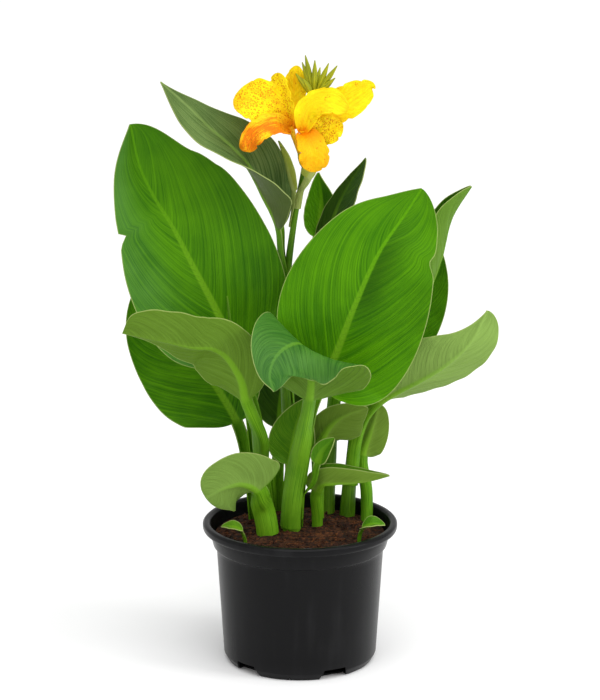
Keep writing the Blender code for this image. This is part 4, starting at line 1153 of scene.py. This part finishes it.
LEAVES = [
    Sheet(
        "leaf_left_great", GREAT, widths=(67, 77), folds=((4, 14), (4, 12)),
        rib=[(-60, 8, 300), (-78, 4, 344), (-102, 0, 393), (-123, 2, 434), (-138, 5, 458), (-150, 6, 483),
        (-160, 2, 529)],
        faces=[(0.25, -1, 0.1), (0.15, -1, 0.1), (0.1, -1, 0.25)], stalk=[(-48, 15, 255)],
        sheath=Sheath(LEFT, (134, 188), 70, 70), widest=(0.32, 0.42), tip_power=(1.0, 0.55), wave=(3.0, 1.6),
        nicks=(Nick(0, 0.645, 8.0, 0.03, tear=True),), seed=2.0,
    ),
    Sheet(
        "leaf_right_great", LIGHT, widths=(69, 70), folds=((6, 18), (4, 16)),
        rib=[(19, 0, 272), (34, -6, 307), (53, -8, 358), (78, -4, 412), (102, 6, 445), (116, 12, 466)],
        faces=[(-0.1, -1, 0.15), (-0.1, -1, 0.15), (0.0, -1, 0.35)], stalk=[(10, -2, 250)],
        sheath=Sheath(FRONT, (134, 200), 72, 72), widest=(0.42, 0.38), tip_power=(0.95, 0.62),
        wave=(3.0, 1.7), nicks=(Nick(1, 0.75, 5.5, 0.06),), seed=3.0,
    ),
    Sheet(
        "leaf_left_arched", ARCHED, widths=(34, 33), folds=((5, 25), (5, 10)),
        rib=[(-52, -34, 270), (-55, -38, 288), (-63, -46, 307), (-73, -54, 321), (-84, -61, 328),
        (-97, -68, 330), (-127, -82, 340), (-164, -92, 350)],
        faces=[(0.1, 1, 0.3), (0.0, 0.85, 0.55), (0.0, 0.7, 0.6)], stalk=[(-39, -20, 232), (-46, -28, 252)],
        sheath=Sheath(LEFT, (134, 185), -80, 54), widest=(0.7, 0.3), tip_power=(0.2, 1.8),
    ),
    Sheet(
        "leaf_front_folded", BLUISH, widths=(60, 52), folds=((5, 10), (5, 10)),
        tip_folds=((-8, -14), (8, 16)),
        rib=[(9, -46, 273), (11, -48, 298), (9, -50, 318), (1, -58, 331), (-12, -70, 331), (-24, -84, 322),
        (-28, -93, 309), (-24, -98, 295)],
        faces=[(0, 1, 0.2), (0.6, 0.1, 1), (-0.1, -0.8, 0.5)], stalk=[(4, -38, 240)],
        sheath=Sheath(FRONT, (133, 195), -100, 58), widest=(0.4, 0.34), tip_power=(0.7, 1.3),
    ),
    Sheet(
        "leaf_top_left", STREAKED, widths=(45, 34), folds=((60, 100), (20, 50)), tip_folds=((-5, 0), (8, 20)),
        rib=[(-20, 13, 428), (-33, 9, 457), (-51, 3, 492), (-68, 0, 511), (-84, 0, 525), (-105, 2, 546),
        (-131, 5, 569)],
        faces=[(0.9, -0.3, 0.2), (0.5, -0.6, 0.45), (0.3, -0.8, 0.4)], stalk=[(-19, 17, 405)],
        sheath=Sheath(FLOWERING, (310, 375), 190, 85), widest=(0.4, 0.32), tip_power=(1.2, 1.6),
    ),
    Sheet(
        "leaf_top_back", LIGHT, widths=(14, 17), folds=((10, 30), (10, 30)),
        rib=[(19, 84, 405), (20, 86, 420), (21, 88, 440), (18, 88, 468)],
        faces=[(-0.2, -1, 0.1)] * 3, stalk=[(-2, 58, 305), (12, 74, 350)],
        sheath=Sheath(FLOWERING, (235, 280), 45, 80), widest=(0.42, 0.35), tip_power=(0.85, 1.3),
    ),
    Sheet(
        "leaf_back_dark", BACK_SHADED, widths=(12, 25), folds=((10, 30), (8, 38)),
        rib=[(24, 58, 350), (26, 58, 390), (33, 58, 430), (46, 55, 460), (63, 50, 489)],
        faces=[(-0.5, -0.8, 0.1), (-0.6, -0.8, 0.1), (-0.7, -0.6, 0.2)], stalk=[(26, 62, 310)],
        sheath=Sheath(BACK, (205, 245), -120, 60), widest=(0.4, 0.65), tip_power=(1.3, 0.6),
    ),
    Sheet(
        "leaf_right_rolled", FRESH, widths=(26, 30), folds=((30, 90), (40, 110)),
        rib=[(88, 66, 310), (116, 60, 340), (136, 58, 386), (148, 58, 431), (166, 58, 460)],
        faces=[(-0.6, -0.5, 0.5), (-0.7, -0.4, 0.4), (-0.8, -0.3, 0.3)], stalk=[(62, 74, 285)],
        sheath=Sheath(BACK, (200, 240), 20, 50), widest=(0.5, 0.5),
    ),
    Sheet(
        "leaf_right_back", FRESH, widths=(30, 27), folds=((5, 15), (5, 15)),
        rib=[(86, 88, 273), (109, 102, 311), (126, 110, 350), (137, 112, 394)],
        faces=[(-0.1, -1, 0.1)] * 3, stalk=[(68, 72, 250)],
        sheath=Sheath(RIGHT, (170, 215), 80, 54),
    ),
    Sheet(
        "leaf_right_low", SILVER, widths=(34, 44), folds=((8, 20), (8, 20)),
        rib=[(78, 33, 250), (94, 26, 262), (116, 14, 277), (138, 2, 294), (163, -12, 322), (178, -18, 354)],
        faces=[(-0.3, 0.85, 0.5), (-0.2, 0.9, 0.4), (-0.3, 0.9, 0.1)], stalk=[(66, 42, 232)],
        sheath=Sheath(RIGHT, (160, 200), -60, 60), widest=(0.62, 0.38), tip_power=(0.6, 1.6),
    ),
    Sheet(
        "leaf_left_low", FRESH, widths=(57, 46), folds=((5, 18), (5, 15)),
        rib=[(-62, 38, 228), (-77, 50, 252), (-102, 64, 284), (-132, 76, 321), (-155, 82, 363)],
        faces=[(0.15, -1, 0.1), (0.1, -1, 0.1), (0.1, -1, 0.1)], stalk=[(-44, 40, 112), (-50, 37, 175)],
        widest=(0.4, 0.4), tip_power=(0.65, 0.65),
    ),
    SmallSheet(
        "leaf_paddle", PALE, widths=(29, 31), folds=((5, 15), (5, 20)),
        rib=[(-41, -37, 181), (-56, -42, 189), (-73, -46, 186), (-90, -46, 176)],
        faces=[(0.3, 0.95, 0.2), (0.1, 0.95, 0.3), (0, 0.95, 0.2)], stalk=[(-37, -31, 167)],
        sheath=Sheath(SMALL, (131, 155), -70, 85), stalk_width=9.0, widest=(0.26, 0.5), tip_power=(0.35, 0.4),
    ),
    SmallSheet(
        "leaf_centre_left", CENTRE_LIT, widths=(24, 18), folds=((8, 25), (8, 25)),
        rib=[(-8, 26, 190), (-5, 22, 220), (3, 16, 257)],
        faces=[(0.1, -1, 0.1), (0.1, -1, 0.2), (0.1, -1, 0.3)], stalk=[(-12, 30, 112), (-12, 29, 150)],
    ),
    SmallSheet(
        "leaf_centre_back", BACK_SHADED, widths=(24, 24), folds=((5, 15), (5, 15)),
        rib=[(-20, 70, 215), (-18, 72, 250), (-12, 72, 300)],
        faces=[(0, -1, 0.1)] * 3, stalk=[(-22, 66, 112), (-22, 68, 180)],
    ),
    SmallSheet(
        "leaf_centre_right", CENTRE_LIT, widths=(33, 14), folds=((5, 20), (5, 20)),
        rib=[(20, 31, 210), (33, 22, 233), (49, 16, 244), (66, 12, 250)],
        faces=[(0, 0.9, 0.4)] * 3, stalk=[(18, 34, 112), (18, 36, 165)],
    ),
    SmallSheet(
        "leaf_right_round", CENTRE_LIT, widths=(17, 14),
        rib=[(62, 68, 185), (70, 70, 209), (79, 70, 238)],
        faces=[(0, 1, 0.1)] * 3, stalk=[(66, 24, 112), (66, 44, 155)],
        tip_power=(0.5, 0.5),
    ),
    SmallSheet(
        "leaf_small_pointed", CENTRE_LIT, widths=(17, 15), folds=((55, 90), (50, 80)),
        rib=[(18, 0, 170), (24, -7, 178), (34, -8, 179), (52, -8, 180), (70, -6, 182), (87, -4, 186)],
        faces=[(-0.3, 0.2, 1), (0, 0.2, 1), (0, 0.2, 1)], stalk=[(18, 12, 112), (18, 8, 145)],
        widest=(0.32, 0.32),
    ),
    SmallSheet(
        "leaf_small_upright", PALE, widths=(8, 8), folds=((10, 40), (10, 40)),
        rib=[(17, -17, 202), (21, -16, 213), (33, -15, 227)],
        faces=[(-0.3, -1, 0.1), (-0.5, -1, 0.1), (-0.6, -1, 0.4)], stalk=[(14, -17, 185)],
        sheath=Sheath(FRONT, (142, 165), -20, 8), stalk_width=3.0, rib_size=(2.0, 1.0),
    ),
    SmallSheet(
        "leaf_ground_right", PALE, widths=(9, 8), folds=((10, 40), (10, 40)),
        rib=[(60, -38, 142), (70, -40, 148), (82, -38, 147)],
        faces=[(-0.2, 0, 1), (0, -0.3, 1), (0.3, -0.2, 1)], stalk=[(58, -34, 116), (58, -36, 136)],
        stalk_width=2.0, rib_size=(1.6, 1.0),
    ),
    SmallSheet(
        "leaf_ground_left", CENTRE_LIT, widths=(6, 7), folds=((10, 40), (10, 40)),
        rib=[(-56, -37, 139), (-66, -36, 144), (-76, -30, 143)],
        faces=[(0.2, 0, 1), (0, -0.3, 1), (-0.3, -0.2, 1)], stalk=[(-52, -34, 116), (-54, -36, 134)],
        stalk_width=2.0, rib_size=(1.6, 1.0),
    ),
    SmallSheet(
        "bract_left", BRACT, widths=(6, 6), folds=((10, 50), (10, 50)),
        rib=[(-7, 5, 466), (-9, 3, 474), (-13, 1, 493), (-20, 0, 514)],
        faces=[(0.8, 0.5, 0.2), (0.8, 0.5, 0.2), (0.8, 0.5, 0.3)], stalk=[(-7, 11, 455)],
        sheath=Sheath(FLOWERING, (428, 440), 165, 50), stalk_width=3.0, rib_size=(1.4, 1.0), slot="bract",
    ),
    SmallSheet(
        "bract", BRACT, widths=(8, 8), folds=((10, 50), (10, 50)),
        rib=[(9, 3, 477), (13, 0, 488), (18, -4, 497)],
        faces=[(-0.6, 0.8, 0.2), (-0.6, 0.8, 0.2), (-0.6, 0.8, 0.3)], stalk=[(6, 5, 471)],
        sheath=Sheath(FLOWERING, (446, 462), -50, 80), stalk_width=4.0, rib_size=(1.4, 1.0), slot="bract",
    ),
]


def petal(
    rib: Sequence[Point], face: Point, widths: tuple[float, float], finish: PetalFinish, seed: float,
    nicks: Sequence[Nick] = (), tip_power: float = 0.6,
) -> Sheet:
    """A petal: a soft sheet with no stalk.

    Args:
        rib: Its midrib.
        face: Where its upper side looks.
        widths: Its greatest half widths.
        finish: Its finish.
        seed: What makes its ruffles its own.
        nicks: Where its margin is drawn in.
        tip_power: How soft its tip is.

    Returns:
        The petal.
    """
    cuts = []
    for k in range(5):
        place, depth = 0.44 + 0.11 * k + 0.02 * math.sin(seed * 5 + k), 1.5 + 0.8 * math.sin(seed * 3 + 2 * k)
        cuts.append(Nick(k % 2, place, depth, 0.035))
    nicks = [*cuts, *nicks]
    return Sheet(
        "petal", finish, rib, [face] * 3, widths, ((20, 40), (20, 40)), ((5, 0), (5, 0)), stalk_width=3.0,
        rib_size=(1.5, 1.0), widest=(0.6, 0.6), tip_power=(tip_power, tip_power), wave=(2.5, 1.5),
        ripple=(1.2, 5.0), furrow=0.35, rows=48, columns=32, slot="petal", seed=seed, nicks=nicks,
    )


BLOOMS = [
    Bloom("bloom_left", [(-1, 8, 501), (-5, 6, 514), (-9, 4, 527)], [
        petal([(-8, 4, 524), (-30, -4, 544), (-47, -6, 553), (-62, 0, 555)],
              (0, -0.8, 0.6), (21, 23), PETAL, 1.0),
        petal([(-8, 5, 524), (-17, 3, 552), (-22, 8, 577)], (-0.5, -1, 0.2), (12, 11), PETAL, 2.0),
        petal([(-7, 6, 524), (-5, 18, 554), (-3, 22, 582)], (0, -1, 0.2), (11, 10), CLEAR, 3.0),
        petal([(-10, 3, 524), (-26, -14, 532), (-39, -22, 527), (-47, -24, 518), (-50, -24, 507)],
              (0.4, -0.9, 0.5), (10, 10), LIP, 4.0, tip_power=0.3),
    ]),
    Bloom("bloom_right", [(8, 4, 503), (5, -2, 514), (2, -8, 525)], [
        petal([(2, -8, 522), (12, -16, 548), (27, -20, 553), (45, -18, 546)],
              (0, -0.9, 0.5), (14, 12), CLEAR, 5.0),
        petal([(3, -7, 522), (20, -3, 538), (42, 0, 549), (70, 4, 567)],
              (0.1, -1, 0.2), (16, 15), CLEAR, 6.0, [Nick(1, 0.95, 5.0, 0.03)]),
        petal([(3, -8, 522), (20, -9, 524), (40, -8, 532)], (0, -1, 0.1), (12, 13), PETAL, 7.0),
        petal([(1, -9, 522), (7, -20, 518), (12, -26, 506), (11, -25, 488)],
              (0.1, -0.6, 1), (15, 14), FUNNEL, 8.0),
    ]),
]
BUDS = BudCluster(
    (13.1, 9.9, 548.4),
    [(5, 12, 593), (14, 6, 589), (2, 16, 586), (19, 16, 581), (27, 8, 586), (35, 6, 584), (33, 2, 573),
     (-4, 17, 575), (3, 3, 572)],
)
OVARIES = [
    Stem(node, points, (1.3, 2.3, 2.4, 1.6), BUD, "bud", sides=18, rings=16, ridges=0.06)
    for node, points in (
        ("ovary_left", [(3.6, 10.2, 486), (1.5, 8.2, 492), (-0.8, 8.0, 500.6)]),
        ("ovary_right", [(6.4, 11.3, 488), (9.5, 7.5, 494), (8.1, 4.3, 502.6)]),
    )
]


@dataclass
class Studio:
    """The pale floor, the soft light and the camera at the photograph's angle.

    Each lamp has its name, where it hangs, what it points at, its side in metres and its power in watts.
    """

    eye: Point = (0.0, -2.4, 0.901)
    pitch: float = 13.82
    lens: float = 154.2
    sensor: float = 36.0
    floor_size: float = 40.0
    sky: float = 0.72
    sun: float = 1.55
    sun_degrees: float = 60.0
    sun_from: Point = (0.35, -0.8, 1.8)
    lamps: tuple = (
        ("key", (-1.4, -2.0, 2.4), (0, 0, 0.35), 1.6, 8.0),
        ("fill", (2.2, -0.8, 1.2), (0, 0, 0.3), 0.8, 22.0),
    )

    def build(self) -> None:
        """Sets up the floor, the lights and the camera."""
        mesh = bmesh.new()
        bmesh.ops.create_grid(mesh, x_segments=1, y_segments=1, size=self.floor_size / 2)
        new_piece("floor", mesh, [FloorFinish().material()])
        self.light()
        camera = new_object("camera", bpy.data.cameras.new("camera"))
        camera.location = self.eye
        camera.rotation_euler = (math.radians(90 - self.pitch), 0.0, 0.0)
        camera.data.sensor_fit = "HORIZONTAL"
        camera.data.sensor_width, camera.data.lens = self.sensor, self.lens
        bpy.context.scene.camera = camera
        bpy.context.scene.view_settings.view_transform = "Standard"

    def light(self) -> None:
        """Adds the sky, the soft square lamps and the broad sun."""
        world = bpy.context.scene.world or bpy.data.worlds.new("studio")
        bpy.context.scene.world = world
        world.use_nodes = True
        sky = world.node_tree.nodes["Background"]
        sky.inputs[0].default_value = (1.0, 1.0, 1.0, 1.0)
        sky.inputs[1].default_value = self.sky
        for name, place, target, size, power in self.lamps:
            lamp = new_object(name, bpy.data.lights.new(name, "AREA"))
            lamp.data.size, lamp.data.energy = size, power
            lamp.location = place
            lamp.rotation_euler = (Vector(target) - Vector(place)).to_track_quat("-Z", "Y").to_euler()
        sun = new_object("daylight", bpy.data.lights.new("daylight", "SUN"))
        sun.data.energy, sun.data.angle = self.sun, math.radians(self.sun_degrees)
        sun.rotation_euler = Vector(self.sun_from).to_track_quat("Z", "Y").to_euler()


def main() -> None:
    """Builds every piece."""
    logging.basicConfig(level=logging.INFO, format="%(name)s: %(message)s")
    Studio().build()
    NurseryPot().build()
    Peat().build()
    for piece in [*STEMS, *LEAVES, *BLOOMS, BUDS, *OVARIES]:
        piece.build()


if __name__ == "__main__":
    main()
